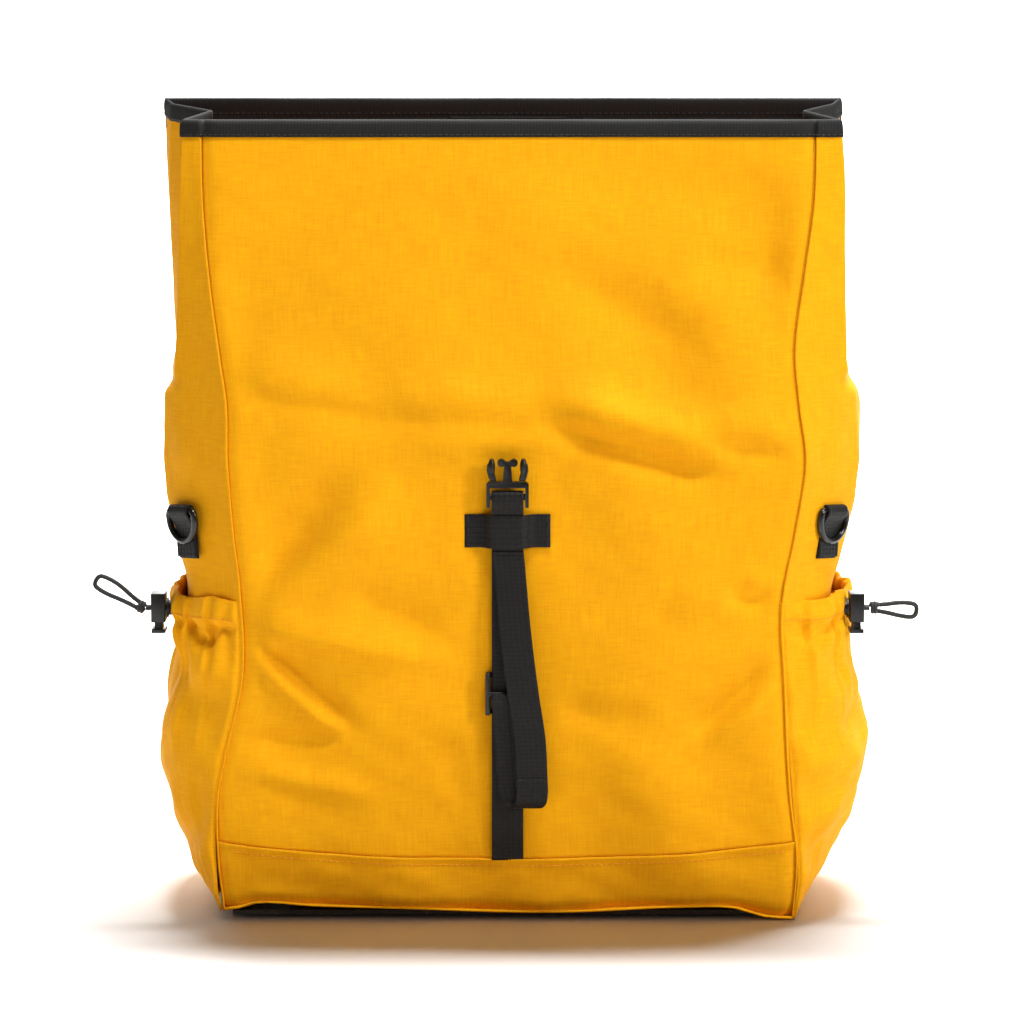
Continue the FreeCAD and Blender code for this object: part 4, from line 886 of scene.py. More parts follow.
class BAG_OT_stage(PieceOperator, bpy.types.Operator):
    """Sets the camera, the floor and the studio light"""

    bl_idname = "bag.stage"
    bl_label = "Stage"

    def build(self):
        self.camera()
        floor = self.floor()
        self.lamps(floor)
        world = bpy.data.worlds.new("studio")
        world.use_nodes = True
        sky = world.node_tree.nodes["Background"]
        sky.inputs[0].default_value = (1.0, 0.88, 0.72, 1.0)
        sky.inputs[1].default_value = 0.12
        scene = bpy.context.scene
        scene.view_settings.view_transform = "Standard"
        scene.world = world

    def camera(self):
        """A long lens in front of the bag, looking a little down on it."""
        reach = 2.2
        picture_width = 0.6205
        tilt = math.radians(8.0)
        target = np.array([2.7 * MM, FRONT_FACE, 254.5 * MM])
        place = target + reach * np.array([0.0, -math.cos(tilt), math.sin(tilt)])
        data = bpy.data.cameras.new("camera")
        data.sensor_width = 36.0
        data.lens = data.sensor_width * reach / picture_width
        data.clip_end = 30.0
        camera = bpy.data.objects.new("camera", data)
        camera.location = place
        camera.rotation_euler = (math.pi / 2 - tilt, 0.0, 0.0)
        bpy.context.scene.collection.objects.link(camera)
        bpy.context.scene.camera = camera

    def floor(self):
        """A flat sheet that turns up through a quarter circle into a tall wall behind."""
        half = sizes().floor
        rows, columns = 60, 8
        foot, head = 0.55, 0.7
        wall, radius, rise = 2.6, 0.8, 5.0
        t = np.linspace(0, 1, rows)
        bend = np.clip((t - foot) / (head - foot), 0, 1) * math.pi / 2
        y = np.where(t < foot, -half + (t / foot) * (half + wall), wall + radius * np.sin(bend))
        z = np.where(t < foot, 0.0, radius * (1 - np.cos(bend)))
        z = np.where(t > head, radius + (t - head) / (1 - head) * rise, z)
        y = np.where(t > head, wall + radius, y)
        x = np.linspace(-half, half, columns)
        under_bag = 0.0002
        points = np.stack([np.broadcast_to(x[None, :], (rows, columns)),
                           np.broadcast_to(y[:, None], (rows, columns)),
                           np.broadcast_to(z[:, None], (rows, columns)) - under_bag], axis=-1)
        floor = make_mesh("studio_floor", points, grid_faces(rows, columns, False))
        material, tree, shader = new_material("studio floor")
        place = node(tree, "ShaderNodeTexCoord").outputs["Object"]
        paper = node(tree, "ShaderNodeTexNoise", [("Vector", place)], in_Scale=3.0)
        white = linear(colours().floor)
        tree.links.new(ramp(tree, paper.outputs[0], 0.2, 0.8, white, white),
                       shader.inputs["Base Color"])
        shader.inputs["Roughness"].default_value = 0.9
        shader.inputs["Specular IOR Level"].default_value = 0.1
        floor.data.materials.append(material)
        return floor

    def lamps(self, floor):
        """Three lamps on the bag from the front, one over its back, one on the wall.

        The front lamps are kept off the floor, so that the bag's own shadow stays on it, and
        the wall's lamp lights nothing but the floor's sheet.
        """
        warm = (1.0, 0.72, 0.42)
        front_lamps = (
            self.lamp("key", (2.0, -1.3, 1.3), (0.4, 0.4), 34.0),
            self.lamp("brow", (0.3, -0.65, 2.1), (0.5, 0.25), 28.0),
            self.lamp("fill", (-1.6, -2.2, 0.7), (1.2, 0.8), 3.0, warm))
        self.lamp("top", (0.1, 0.5, 2.4), (1.2, 0.24), 105.0)
        wall_lamp = self.lamp("wall", (0.0, 1.2, 1.7), (3.0, 0.6), 260.0, aim=(0, 3.4, 0.9))
        lit = bpy.data.collections.new("lit by the wall lamp")
        lit.objects.link(floor)
        wall_lamp.light_linking.receiver_collection = lit
        shaded = bpy.data.collections.new("kept out of the front light")
        shaded.objects.link(floor)
        for item in front_lamps:
            item.light_linking.receiver_collection = shaded
        shaded.collection_objects[0].light_linking.link_state = "EXCLUDE"

    def lamp(self, name, place, size, power, colour=(1, 1, 1), aim=(0, 0, 0.25)):
        """A soft rectangular lamp, turned towards a point."""
        light = bpy.data.lights.new(name, "AREA")
        light.energy = power
        light.shape = "RECTANGLE"
        light.size, light.size_y = size
        light.color = colour
        item = bpy.data.objects.new(name, light)
        item.location = place
        toward = np.array(aim) - np.array(place)
        flat = math.hypot(toward[0], toward[1])
        item.rotation_euler = (math.atan2(flat, -toward[2]), 0,
                               math.atan2(toward[1], toward[0]) - math.pi / 2)
        bpy.context.scene.collection.objects.link(item)
        return item


# Pull loops in their own plane: distance out from the knot and height beside it, in
# millimetres, as the cord lies.
RIGHT_LOOP = [(0.0, 1.9), (5.6, 2.5), (12.0, 4.0), (18.4, 4.6), (25.2, 3.8),
              (24.7, -4.2), (17.9, -4.4), (11.5, -3.4), (5.6, -2.4), (0.0, -1.9)]
LEFT_LOOP = [(0.0, 1.9), (6.4, 2.4), (13.2, 3.9), (20.0, 4.7), (26.2, 4.3),
             (31.2, 3.0), (30.8, -4.0), (25.4, -4.6), (19.2, -4.2), (12.8, -3.1),
             (6.4, -2.3), (0.0, -1.9)]
LOOP_TILT = {"right": -4.0, "left": 32.0}
LOOPS = {"right": RIGHT_LOOP, "left": LEFT_LOOP}
KNOT_HALF = 0.3 * 7.6 * MM


class BAG_OT_pull_loops(PieceOperator, bpy.types.Operator):
    """Makes the elastic pull loops of the two side pockets, with their knots"""

    bl_idname = "bag.pull_loops"
    bl_label = "Pull loops"

    def build(self):
        for side in ("right", "left"):
            low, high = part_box(side + "_cord_knot")
            centre = (np.array(low) + np.array(high)) / 2
            strands_low, strands_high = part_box(side + "_cord_strands")
            inner = strands_high[0] if side == "right" else strands_low[0]
            centre[0] = inner + SIGN[side] * KNOT_HALF
            tilt = math.radians(LOOP_TILT[side])
            sign = SIGN[side]
            out = np.array([sign * math.cos(tilt), 0, math.sin(tilt)])
            up = np.array([-sign * math.sin(tilt), 0, math.cos(tilt)])
            start = centre + out * KNOT_HALF
            route = np.array(LOOPS[side]) * MM
            points = start + route[:, 0:1] * out + route[:, 1:2] * up
            curve = bpy.data.curves.new(side + "_pull_loop", "CURVE")
            curve.dimensions = "3D"
            spline = curve.splines.new("NURBS")
            spline.points.add(len(points) - 1)
            spline.points.foreach_set("co", np.c_[points, np.ones(len(points))].ravel())
            spline.order_u = 3
            spline.use_endpoint_u = True
            spline.resolution_u = 12
            curve.bevel_depth = sizes().cord / 2
            curve.bevel_resolution = 5
            curve.use_fill_caps = True
            cord = bpy.data.objects.new(side + "_pull_cord", curve)
            bpy.context.scene.collection.objects.link(cord)
            walked = lengths_along(spline_points(cord))[-1]
            finish(cord, "bag", material_for("cord"), "elastic", side + "_pull_loop")
            knot = self.knot(side, centre, out)

    def knot(self, side, centre, out):
        """An overhand knot: two and a half wraps of cord round the strands, as a tube that
        follows a helix whose radius swells in the middle."""
        turns = 2.4
        t = np.linspace(0, 1, 90)
        angle = t * turns * 2 * math.pi
        swell = 2.35 * MM + 0.55 * MM * np.sin(t * math.pi)
        side_a = np.array([0.0, 1.0, 0.0])
        side_b = np.cross(out, side_a)
        path = (centre + ((t[:, None] - 0.5) * 1.8 * KNOT_HALF + 0.9 * MM) * out
                + swell[:, None] * (np.cos(angle)[:, None] * side_a
                                    + np.sin(angle)[:, None] * side_b))
        piece = round_tube(side + "_overhand_knot", path, 1.3 * MM, out)
        return finish(piece, "bag", material_for("cord"), "elastic", side + "_cord_knot")


def spline_points(cord):
    """The points that a curve's spline runs through."""
    curve = cord.data
    depth = curve.bevel_depth
    curve.bevel_depth = 0.0
    mesh = bpy.data.meshes.new_from_object(cord)
    curve.bevel_depth = depth
    points = np.empty(len(mesh.vertices) * 3)
    mesh.vertices.foreach_get("co", points)
    bpy.data.meshes.remove(mesh)
    return points.reshape(-1, 3)


def round_tube(name, path, radius, reference, sides=14):
    """A round tube along a path: each ring is a circle square to the path, turned so that it
    starts on the side of a fixed direction."""
    path = np.asarray(path, float)
    along = unit(np.gradient(path, axis=0))
    first = unit(np.cross(along, np.broadcast_to(np.asarray(reference, float), path.shape)))
    second = np.cross(along, first)
    angle = np.arange(sides) * 2 * math.pi / sides
    circle = np.stack([np.cos(angle), np.sin(angle)], axis=1) * radius
    return swept(name, path, first, second, circle)


class BAG_OT_front_panel(PieceOperator, bpy.types.Operator):
    """Makes the front panel and the base band below it, with their seam stitches"""

    bl_idname = "bag.front_panel"
    bl_label = "Front panel"

    def build(self):
        seam = BAND_SEAM
        stations = np.linspace(-1, 1, 181)
        t = np.linspace(0, 1, 211)
        low = band_seam(stations)
        heights = seam + t * (TOP - 1 * MM - seam)
        panel = front_points(heights, stations)
        panel[..., 2] += ((low - seam)[None, :] * (1 - smooth(0, 0.3, t))[:, None])
        cloth = sheet_mesh("front_panel_cloth", panel, flat_uv(panel))
        thicken(cloth, sizes().cloth)
        finish(cloth, "bag", material_for("canvas"), "fabric", "front_panel")

        heights = np.linspace(0.0, seam, 31)
        band = front_points(heights, stations)
        share = heights / seam
        band[..., 2] += (low - seam)[None, :] * smooth(0, 1, share)[:, None]
        band = dropped_edge(band, seam)
        roll = np.exp(-((1 - share) / 0.07) ** 2)
        band[..., 1] -= (0.5 + 1.0 * roll)[:, None] * MM
        band[..., 1] += 4.0 * MM * (np.exp(-(share / 0.12) ** 2))[:, None]
        band[..., 1] -= (0.8 * MM * cloudy(band[..., 0], band[..., 2], 70 * MM, 31)
                         * np.sin(share * math.pi)[:, None])
        strip = sheet_mesh("base_band_cloth", band, flat_uv(band))
        thicken(strip, sizes().cloth)
        finish(strip, "bag", material_for("canvas"), "fabric", "front_base_band")

        row = band[-4] + np.array([0, -0.1 * MM, -0.6 * MM])
        thread = stitch_row("base_band_stitches", row[4:-4], (0, -1, 0.1))
        finish(thread, "bag", material_for("amber_thread"), "fabric")


BAND_SEAM = 40 * MM


def band_seam(stations):
    """The height of the seam over the base band: low in the middle, higher at its ends."""
    return BAND_SEAM - 0.5 * MM + 10.5 * MM * np.abs(stations) ** 2.2


class BAG_OT_gussets(PieceOperator, bpy.types.Operator):
    """Makes the two side gussets, folded inwards above mid height"""

    bl_idname = "bag.gussets"
    bl_label = "Gussets"

    def build(self):
        for side in ("right", "left"):
            heights = np.linspace(0.0, TOP - 1 * MM, 201)
            stations = np.linspace(0, 4, 97)
            points = gusset_points(side, heights, stations)
            u = np.broadcast_to(stations[None, :] * 40 * MM, points.shape[:2])
            z = points[..., 2]
            edge = np.minimum(stations, 4 - stations)[None, :]
            free = smooth(0.0, 0.45, edge)
            calm = (1 - 0.7 * smooth(300 * MM, 380 * MM, z)) * smooth(40 * MM, 90 * MM, z)
            relief = 1.3 * MM * cloudy(u, z, 80 * MM, 21 if side == "right" else 22)
            relief += 0.4 * MM * cloudy(u, z, 25 * MM, 23)
            ridge = np.exp(-((stations[None, :] - 1.25) / 0.16) ** 2) \
                * smooth(230 * MM, 280 * MM, z) * (1 - smooth(322 * MM, 334 * MM, z))
            under_tab = np.exp(-((stations[None, :] - 0.55) / 0.6) ** 4) \
                * smooth(205 * MM, 218 * MM, z) * (1 - smooth(268 * MM, 285 * MM, z))
            relief = relief * calm * free * (1 - under_tab) - 0.8 * MM * under_tab
            relief += 2.0 * MM * ridge
            end = np.exp(-((z - 330 * MM) / (5 * MM)) ** 2) * smooth(0.5, 1.0, edge)
            relief -= 2.0 * MM * end
            points = points + relief[..., None] * side_normals(points, side)
            points = dropped_edge(points, 40 * MM)
            cloth = sheet_mesh(side + "_gusset_cloth", points, flat_uv(points),
                               flip=side == "left")
            thicken(cloth, sizes().cloth)
            finish(cloth, "bag", material_for("canvas"), "fabric", side + "_gusset")


def side_normals(points, side):
    """Outward directions of a side sheet, square to its rows and columns."""
    along = np.gradient(points, axis=1)
    up = np.gradient(points, axis=0)
    normal = unit(np.cross(along, up))
    return normal * SIGN[side]


class BAG_OT_back_and_base(PieceOperator, bpy.types.Operator):
    """Makes the back panel, the base and the stiffeners inside"""

    bl_idname = "bag.back_and_base"
    bl_label = "Back and base"

    def build(self):
        heights = np.linspace(0.0, TOP - 1 * MM, 121)
        stations = np.linspace(-1, 1, 121)
        left = side_lines("left", heights)[:, 4]
        right = side_lines("right", heights)[:, 4]
        share = (stations[None, :, None] + 1) / 2
        plan = left[:, None, :] * (1 - share) + right[:, None, :] * share
        z = heights[:, None] + rim_rise(heights, 1.0)[:, None] + 0 * plan[..., 0]
        inset = (1 - np.abs(stations))[None, :] * 180 * MM
        upper = smooth(330 * MM, 400 * MM, z)
        relief = 1.6 * MM * cloudy(plan[..., 0], z, 140 * MM, 41) * smooth(0, 30 * MM, inset)
        plan = plan.copy()
        plan[..., 1] += (relief * upper - 0.5 * MM) * (1 - smooth(475 * MM, 489 * MM, z))
        points = np.concatenate([plan, z[..., None]], axis=-1)
        points = dropped_edge(points, 40 * MM)
        cloth = sheet_mesh("back_panel_cloth", points, flat_uv(points), flip=True)
        thicken(cloth, sizes().cloth)
        finish(cloth, "bag", material_for("canvas"), "fabric", "back_panel")

        edge = self.outline()
        t = np.linspace(0.0, 1.0, 25)[:, None, None]
        ring = edge[None, :, :] * t
        x, y = ring[..., 0], ring[..., 1]
        z = base_lift(x)
        base = np.stack([x, y, z + 0.0002], axis=-1)
        floor = make_mesh("base_cloth", base, grid_faces(25, edge.shape[0], True)[:, ::-1],
                          np.stack([x, y], axis=-1))
        merge_points(floor)
        thicken(floor, 1.2 * MM, 1.0)
        finish(floor, "bag", material_for("canvas"), "fabric", "base_panel")
        for name in ("base_stiffener", "back_stiffener"):
            clothe(name, "sheet")

    def outline(self):
        """The bag's plan at the floor as one loop of points."""
        height = np.array([0.0])
        stations = np.linspace(0, 4, 33)
        right = gusset_points("right", height, stations)[0]
        left = gusset_points("left", height, stations)[0][::-1]
        across = np.linspace(0, 1, 40)[1:-1, None]
        back = right[-1] * (1 - across) + left[0] * across
        front = left[-1] * (1 - across) + right[0] * across
        return np.concatenate([right, back, left, front])[:, :2]


def merge_points(piece, distance=0.00001):
    """Joins points that lie on each other."""
    work = bmesh.new()
    work.from_mesh(piece.data)
    bmesh.ops.remove_doubles(work, verts=work.verts, dist=distance)
    work.to_mesh(piece.data)
    work.free()


def clothe(name, key):
    """Gives a CAD node's object a material."""
    item = frame["nodes"][name]
    item = item if hasattr(item, "data") else bpy.data.objects[name]
    item.data.materials.clear()
    item.data.materials.append(material_for(key))


class BAG_OT_mouth(PieceOperator, bpy.types.Operator):
    """Makes the binding tape round the mouth, its stitches and the closure strips"""

    bl_idname = "bag.mouth"
    bl_label = "Mouth"

    def build(self):
        top = np.array([TOP])
        below = np.array([TOP - 10 * MM])
        upper = self.loop(top)
        lower = self.loop(below)
        tangent = unit(np.roll(upper, -1, axis=0) - np.roll(upper, 1, axis=0))
        down = unit(lower - upper)
        out = unit(np.cross(tangent, -down))
        tape = 0.9 * MM
        depth = 1.0 * MM
        section = [(-10.0, tape + 0.1 * MM), (-7.5, tape + 0.25 * MM), (-5, tape + 0.3 * MM),
                   (-2.5, tape + 0.25 * MM), (-0.3, tape * 0.9), (0.7, tape * 0.2),
                   (1.0, -depth / 2), (0.7, -depth - tape * 0.2), (-0.3, -depth - tape * 0.9),
                   (-2.5, -depth - tape - 0.2 * MM), (-5, -depth - tape - 0.3 * MM),
                   (-10, -depth - tape), (-11, -depth - 0.9 * MM), (-14, -depth - 1.6 * MM),
                   (-17, -depth - 2.6 * MM)]
        count = len(upper)
        walked = np.concatenate([[0], np.cumsum(np.linalg.norm(np.diff(upper, axis=0),
                                                               axis=1))])
        uneven = 1 + 0.12 * np.sin(walked / (37 * MM)) + 0.1 * np.sin(walked / (13 * MM) + 1)
        rings = np.stack([upper - down * (height * MM) + out * offset * uneven[:, None]
                          for height, offset in section])
        uv = np.stack([np.broadcast_to(walked[None, :], rings.shape[:2]),
                       np.broadcast_to(np.linspace(0, 24 * MM, len(section))[:, None],
                                       rings.shape[:2])], axis=-1)
        tape_piece = make_mesh("mouth_binding_tape", rings,
                               grid_faces(len(section), count, True), uv)
        thicken(tape_piece, 0.5 * MM)
        finish(tape_piece, "bag", material_for("tape"), "binding_tape", "mouth_binding")
        outer = upper + down * 8.6 * MM + out * 1.35 * MM
        inner = upper + down * 8.4 * MM - out * 2.5 * MM
        rows = [stitch_row("outer", np.r_[outer, outer[:1]], np.r_[out, out[:1]]),
                stitch_row("inner", np.r_[inner, inner[:1]], np.r_[-out, -out[:1]])]
        thread = joined("binding_stitches", rows)
        finish(thread, "bag", material_for("black_thread"), "binding_tape")
        for name in ("front_closure_strip", "back_closure_strip"):
            self.closure(name)

    def loop(self, height):
        """The rim as one loop of points: front from left to right, right side, back, left."""
        stations = np.linspace(0, 4, 121)
        right = gusset_points("right", height, stations)[0]
        left = gusset_points("left", height, stations)[0]
        front = front_points(height, np.linspace(-1, 1, 121))[0]
        across = np.linspace(0, 1, 121)[1:-1, None]
        back = right[-1] * (1 - across) + left[-1] * across
        return np.concatenate([front, right[1:], back, left[::-1][:-1]])

    def closure(self, name):
        """A strip of hook or loop tape: a flat pad with hundreds of little tufts."""
        low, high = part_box(name)
        low, high = np.array(low), np.array(high)
        across = np.linspace(low[0], high[0], 74)
        front = name.startswith("front")
        # the strip lies along the sloping panel, from its foot to its head
        t = np.linspace(0, 1, 13)
        slope = (high[1] - low[1]) - 1.2 * MM
        foot = low[1] if front else high[1]
        y = foot + (slope * t if front else -slope * t)
        z = low[2] + (high[2] - low[2]) * t
        inward = 1.0 if front else -1.0
        xx, tt = np.meshgrid(across, t)
        yy = np.interp(tt, t, y) + inward * (1.0 * MM + 0.25 * MM * np.sin(xx / MM * 3.1)
                                             * np.sin(tt * 40))
        zz = np.interp(tt, t, z)
        points = np.stack([xx, yy, zz], axis=-1)
        pad = sheet_mesh(name + "_tape", points, np.stack([xx, zz], axis=-1), flip=front)
        thicken(pad, 1.0 * MM)
        finish(pad, "bag", material_for("tape"), "closure_tape", name)


# Outside of a side pocket: height, then the same five lines, in millimetres.
RIGHT_POCKET = np.array([
    [0, 177, -78, 181, -47, 182, 0, 181, 46, 176, 78],
    [12, 178.5, -80.5, 187, -50, 192, 0, 187, 48, 179, 79.5],
    [32, 179.5, -81, 196, -52, 205, 0, 197, 50, 181, 80],
    [60, 177, -81, 205, -53, 217, 0, 207, 51, 183, 80],
    [93, 174, -81, 213, -53, 226.5, 0, 215, 51, 184, 80],
    [125, 171, -81, 210, -52, 221, 0, 213, 50, 185, 80],
    [160, 168, -81, 204.5, -51, 214, 0, 207, 49, 186, 80],
    [178, 167, -81, 203, -50, 213, 0, 206, 48, 187, 80],
    [197, 166.5, -81, 203, -49, 213, 0, 206, 48, 187, 80],
]) * MM
LEFT_POCKET = np.array([
    [0, 177, -78, 181, -47, 182, 0, 181, 46, 176, 78],
    [12, 179.5, -80.5, 187, -50, 191, 0, 187, 48, 179, 79.5],
    [32, 180, -81, 194, -52, 202, 0, 197, 50, 181, 80],
    [60, 180, -81, 202, -53, 212, 0, 205, 51, 183, 80],
    [93, 176, -81, 208, -53, 219, 0, 211, 51, 184, 80],
    [125, 168, -81, 206, -52, 216, 0, 209, 50, 185, 80],
    [160, 163, -81, 200, -51, 207.5, 0, 203, 49, 186, 80],
    [178, 163, -81, 200, -50, 208, 0, 203, 48, 187, 80],
    [197, 164, -81, 200, -49, 208, 0, 203, 48, 187, 80],
]) * MM
POCKETS = {"right": RIGHT_POCKET, "left": LEFT_POCKET}
HEM_TOP = 198.5 * MM
HEM_LOW = 182.5 * MM


class BAG_OT_pockets(PieceOperator, bpy.types.Operator):
    """Makes the two side pockets: bellied low down and gathered by the elastic in the hem"""

    bl_idname = "bag.pockets"
    bl_label = "Side pockets"

    def build(self):
        for side in ("right", "left"):
            table = POCKETS[side]
            heights = np.concatenate([np.linspace(0, HEM_LOW, 91),
                                      np.linspace(HEM_LOW, HEM_TOP, 15)[1:]])
            stations = np.linspace(0, 4, 161)
            plan = through(table[:, 0], table[:, 1:], heights).reshape(-1, 5, 2).copy()
            plan[..., 0] *= SIGN[side]
            flat = across_lines(plan, stations, 0 * heights)
            z = np.broadcast_to(heights[:, None], flat.shape[:2])
            points = np.concatenate([flat, z[..., None]], axis=-1)
            normals = side_normals(points, side)
            run = np.broadcast_to(stations[None, :], z.shape)
            free = smooth(0.0, 0.25, np.minimum(run, 4 - run))
            points = points + (self.gathers(run, z, side) * free)[..., None] * normals
            hem = smooth(HEM_LOW - 6 * MM, HEM_TOP, z)
            points[..., 2] += hem * free * 1.5 * MM * np.sin(run * 6.3 + SIGN[side])
            points = self.to_eyelet(points, side)
            seam = np.exp(-(np.minimum(run, 4 - run) / 0.07) ** 2)
            points[..., 1] += seam * np.where(run < 2, 3.2 * MM, -2.0 * MM)
            points[..., 0] -= seam * SIGN[side] * 0.8 * MM
            points = dropped_edge(points, 30 * MM)
            normals = side_normals(points, side)
            lip = points[-1:] - normals[-1:] * np.linspace(0.6, 4.0, 6)[:, None, None] * MM
            lip[..., 2] += (np.array([0.9, 1.2, 1.0, 0.2, -2.0, -9.0]) * MM)[:, None]
            points = np.concatenate([points, lip])
            cloth = sheet_mesh(side + "_pocket_cloth", points, flat_uv(points),
                               flip=side == "left")
            thicken(cloth, sizes().cloth)
            finish(cloth, "bag", material_for("canvas"), "fabric", side + "_pocket",
                   side + "_pocket_hem")
            row = points[94, 3:-3] + normals[94, 3:-3] * 0.15 * MM
            thread = stitch_row(side + "_hem_stitches", row, normals[94, 3:-3])
            finish(thread, "bag", material_for("amber_thread"), "fabric")
            middle = points[98, 8:-8] - normals[98, 8:-8] * 2.6 * MM
            elastic = round_tube(side + "_hem_cord", middle, 1.2 * MM, (0, 0, 1), 10)
            finish(elastic, "bag", material_for("cord"), "elastic", side + "_hem_elastic")

    def to_eyelet(self, points, side):
        """Draws the hem out to the flange of its eyelet, in a bell round the eyelet."""
        low, high = (np.array(corner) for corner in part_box(side + "_cord_eyelet"))
        middle = (low + high) / 2
        flange = high[0] if side == "right" else -low[0]
        across = (points[..., 1] - middle[1]) ** 2 + (points[..., 2] - middle[2]) ** 2
        rows = np.arange(points.shape[0])[:, None] + 0 * points[..., 0]
        across = np.where(np.abs(points[..., 0]) > 190 * MM, across, 1.0)
        nearest = np.unravel_index(np.argmin(across), across.shape)
        reach = flange - 1.0 * MM - abs(points[nearest][0])
        bell = np.exp(-across / (13 * MM) ** 2) * (rows > 0)
        points[..., 0] += SIGN[side] * reach * bell
        return points

    def gathers(self, run, z, side):
        """How far the pocket's cloth stands out: a rolled hem, and uneven gathers that start
        at the hem's lower edge and die out below it."""
        seed = 51 if side == "right" else 52
        uneven = run + 0.12 * np.sin(run * 5.1 + seed) + 0.07 * np.sin(run * 13.0)
        wave = np.sin(uneven * 2 * math.pi * 2.6 + 0.6 * seed)
        wave += 0.6 * np.sin(uneven * 2 * math.pi * 4.7 + seed)
        below = np.exp(-np.maximum(HEM_LOW - z, 0) / (24 * MM))
        hem = smooth(HEM_LOW - 3 * MM, HEM_LOW + 5 * MM, z)
        roll = 1.8 * MM * np.sin(np.clip((z - HEM_LOW) / (HEM_TOP - HEM_LOW), 0, 1) * math.pi)
        pinch = -2.2 * MM * np.exp(-((z - HEM_LOW + 1 * MM) / (3.5 * MM)) ** 2)
        drawn = np.exp(-((run - 0.55) / 0.28) ** 2) * (2.2 if side == "left" else 1.2)
        hook = -3.2 * MM * drawn * np.exp(-((z - HEM_LOW + (9 - 10 * (run - 0.55) ** 2 / 0.08)
                                            * MM) / (5 * MM)) ** 2)
        swag = 2.6 * MM * drawn * np.exp(-((z - HEM_LOW + 26 * MM) / (12 * MM)) ** 2)
        soft = 2.0 * MM * cloudy(run * 40 * MM, z, 60 * MM, seed + 5)
        soft += 0.8 * MM * cloudy(run * 40 * MM, z, 24 * MM, seed + 9)
        soft = soft * smooth(0, 30 * MM, z)
        return wave * 2.3 * MM * below * (1 - 0.5 * hem) + roll + pinch + soft + hook + swag


def joint_place(name):
    """Where a joint's axis runs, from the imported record."""
    joints = frame["record"]["behaviour"]["joints"]
    return np.array([item for item in joints if item["name"] == name][0]["pos_m"])


class BAG_OT_strap(PieceOperator, bpy.types.Operator):
    """Makes the closure strap, its keeper and its hanging tail"""

    bl_idname = "bag.strap"
    bl_label = "Closure strap"

    def build(self):
        wide = 20 * MM
        thick = sizes().webbing
        side = np.array([1.0, 0, 0])
        bar = joint_place("buckle_tilt")
        top = bar[2] / MM
        keeper_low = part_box("keeper_tab")[0]
        under = keeper_low[2] / MM
        rise = np.array([[0, -79.9, 39], [0, -80.4, 45], [0, -82.6, 58], [0, -82.6, under],
                         [0, -82.6, top - 14], [0, -82.9, top - 5]]) * MM
        turn = np.linspace(0, math.pi, 22)
        radius = 3.2 * MM
        over = np.stack([0 * turn, bar[1] + radius * np.cos(turn),
                         bar[2] + radius * np.sin(turn)], axis=1)
        fall = np.array([[0, -89.3, top - 3.5], [0, -87.2, top - 8], [0, -84.4, top - 13.5],
                         [0, -84.4, under - 1]]) * MM
        path = np.concatenate([rounded(rise, 8 * MM), over, rounded(fall, 4 * MM)])
        out = strip_outward(path, side)
        strap = webbing_strip("closure_strap", path, side, out, wide, thick)
        finish(strap, "bag", material_for("webbing"), "webbing", "front_strap")

        # the front layer leans to the right as it falls, and turns under at the tail
        run, turned = self.front_layer(under)
        out = strip_outward(run, side)
        front = webbing_strip("strap_front_run", run, side, -out, wide, thick)
        finish(front, None, material_for("webbing"), "webbing", "strap_front_layer")
        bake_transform(front)
        out = strip_outward(turned, side)
        tail = webbing_strip("strap_tail", turned, side, -out, wide, thick)
        finish(tail, "slider", material_for("webbing"), "webbing", "strap_tail_loop")
        self.keeper()

    def front_layer(self, under):
        """The paths of the front layer, from under the keeper, and of the tail below it."""
        front = np.array([[0.2, -84.4, under - 1], [1.6, -84.9, 216], [4.5, -88.0, 184],
                          [9.5, -90.2, 144], [13.5, -90.6, 117], [14.8, -91.0, 92]]) * MM
        knots = lengths_along(front)
        fine = through(knots, front, np.linspace(0, knots[-1], 90))
        tail = np.array([[14.8, -91.0, 92], [15.0, -91.2, 83], [14.0, -91.1, 77],
                         [11.0, -88.6, 73.8], [7.0, -85.9, 76.0], [4.2, -85.4, 85],
                         [2.0, -85.4, 108], [0.6, -86.2, 131], [0.0, -88.0, 139],
                         [0.0, -88.1, 144]]) * MM
        knots = lengths_along(tail)
        tail_fine = through(knots, tail, np.linspace(0, knots[-1], 120))
        return fine, tail_fine

    def keeper(self):
        """The short tab across the strap, bridged over it and bar-tacked at both ends."""
        low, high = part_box("keeper_tab")
        middle = (low[2] + high[2]) / 2
        flat = -80.0
        proud = -86.2
        corner = np.array([[-26, flat], [-14.8, flat], [-10.4, proud + 0.4], [-7, proud],
                           [7, proud], [10.4, proud + 0.4], [14.8, flat], [26, flat]]) * MM
        path = np.stack([corner[:, 0], corner[:, 1], np.full(len(corner), middle)], axis=1)
        path = rounded(path, 2.5 * MM)
        up = np.array([0.0, 0.0, 1.0])
        along = unit(np.gradient(path, axis=0))
        out = unit(np.cross(along, up))
        tab = webbing_strip("keeper_tab_webbing", path, up, out, high[2] - low[2])
        finish(tab, "bag", material_for("webbing"), "webbing", "keeper_tab")
        rows = []
        for sign in (-1, 1):
            steps = np.arange(25)
            x = sign * (23.2 + 1.5 * (steps % 2)) * MM
            z = middle + (steps / 24 - 0.5) * 17.5 * MM
            y = np.full(len(steps), flat * MM - 0.7 * MM)
            tack = np.stack([x, y, z], axis=1)
            rows.append(stitch_row("tack", tack, (0, -1, 0), 1.7 * MM, 0.1 * MM))
        thread = joined("keeper_stitches", rows)
        finish(thread, "bag", material_for("black_thread"), "webbing")


def strip_outward(path, side):
    """The direction square to a strip's path and to its width."""
    along = unit(np.gradient(path, axis=0))
    return unit(np.cross(np.broadcast_to(side, path.shape), along))


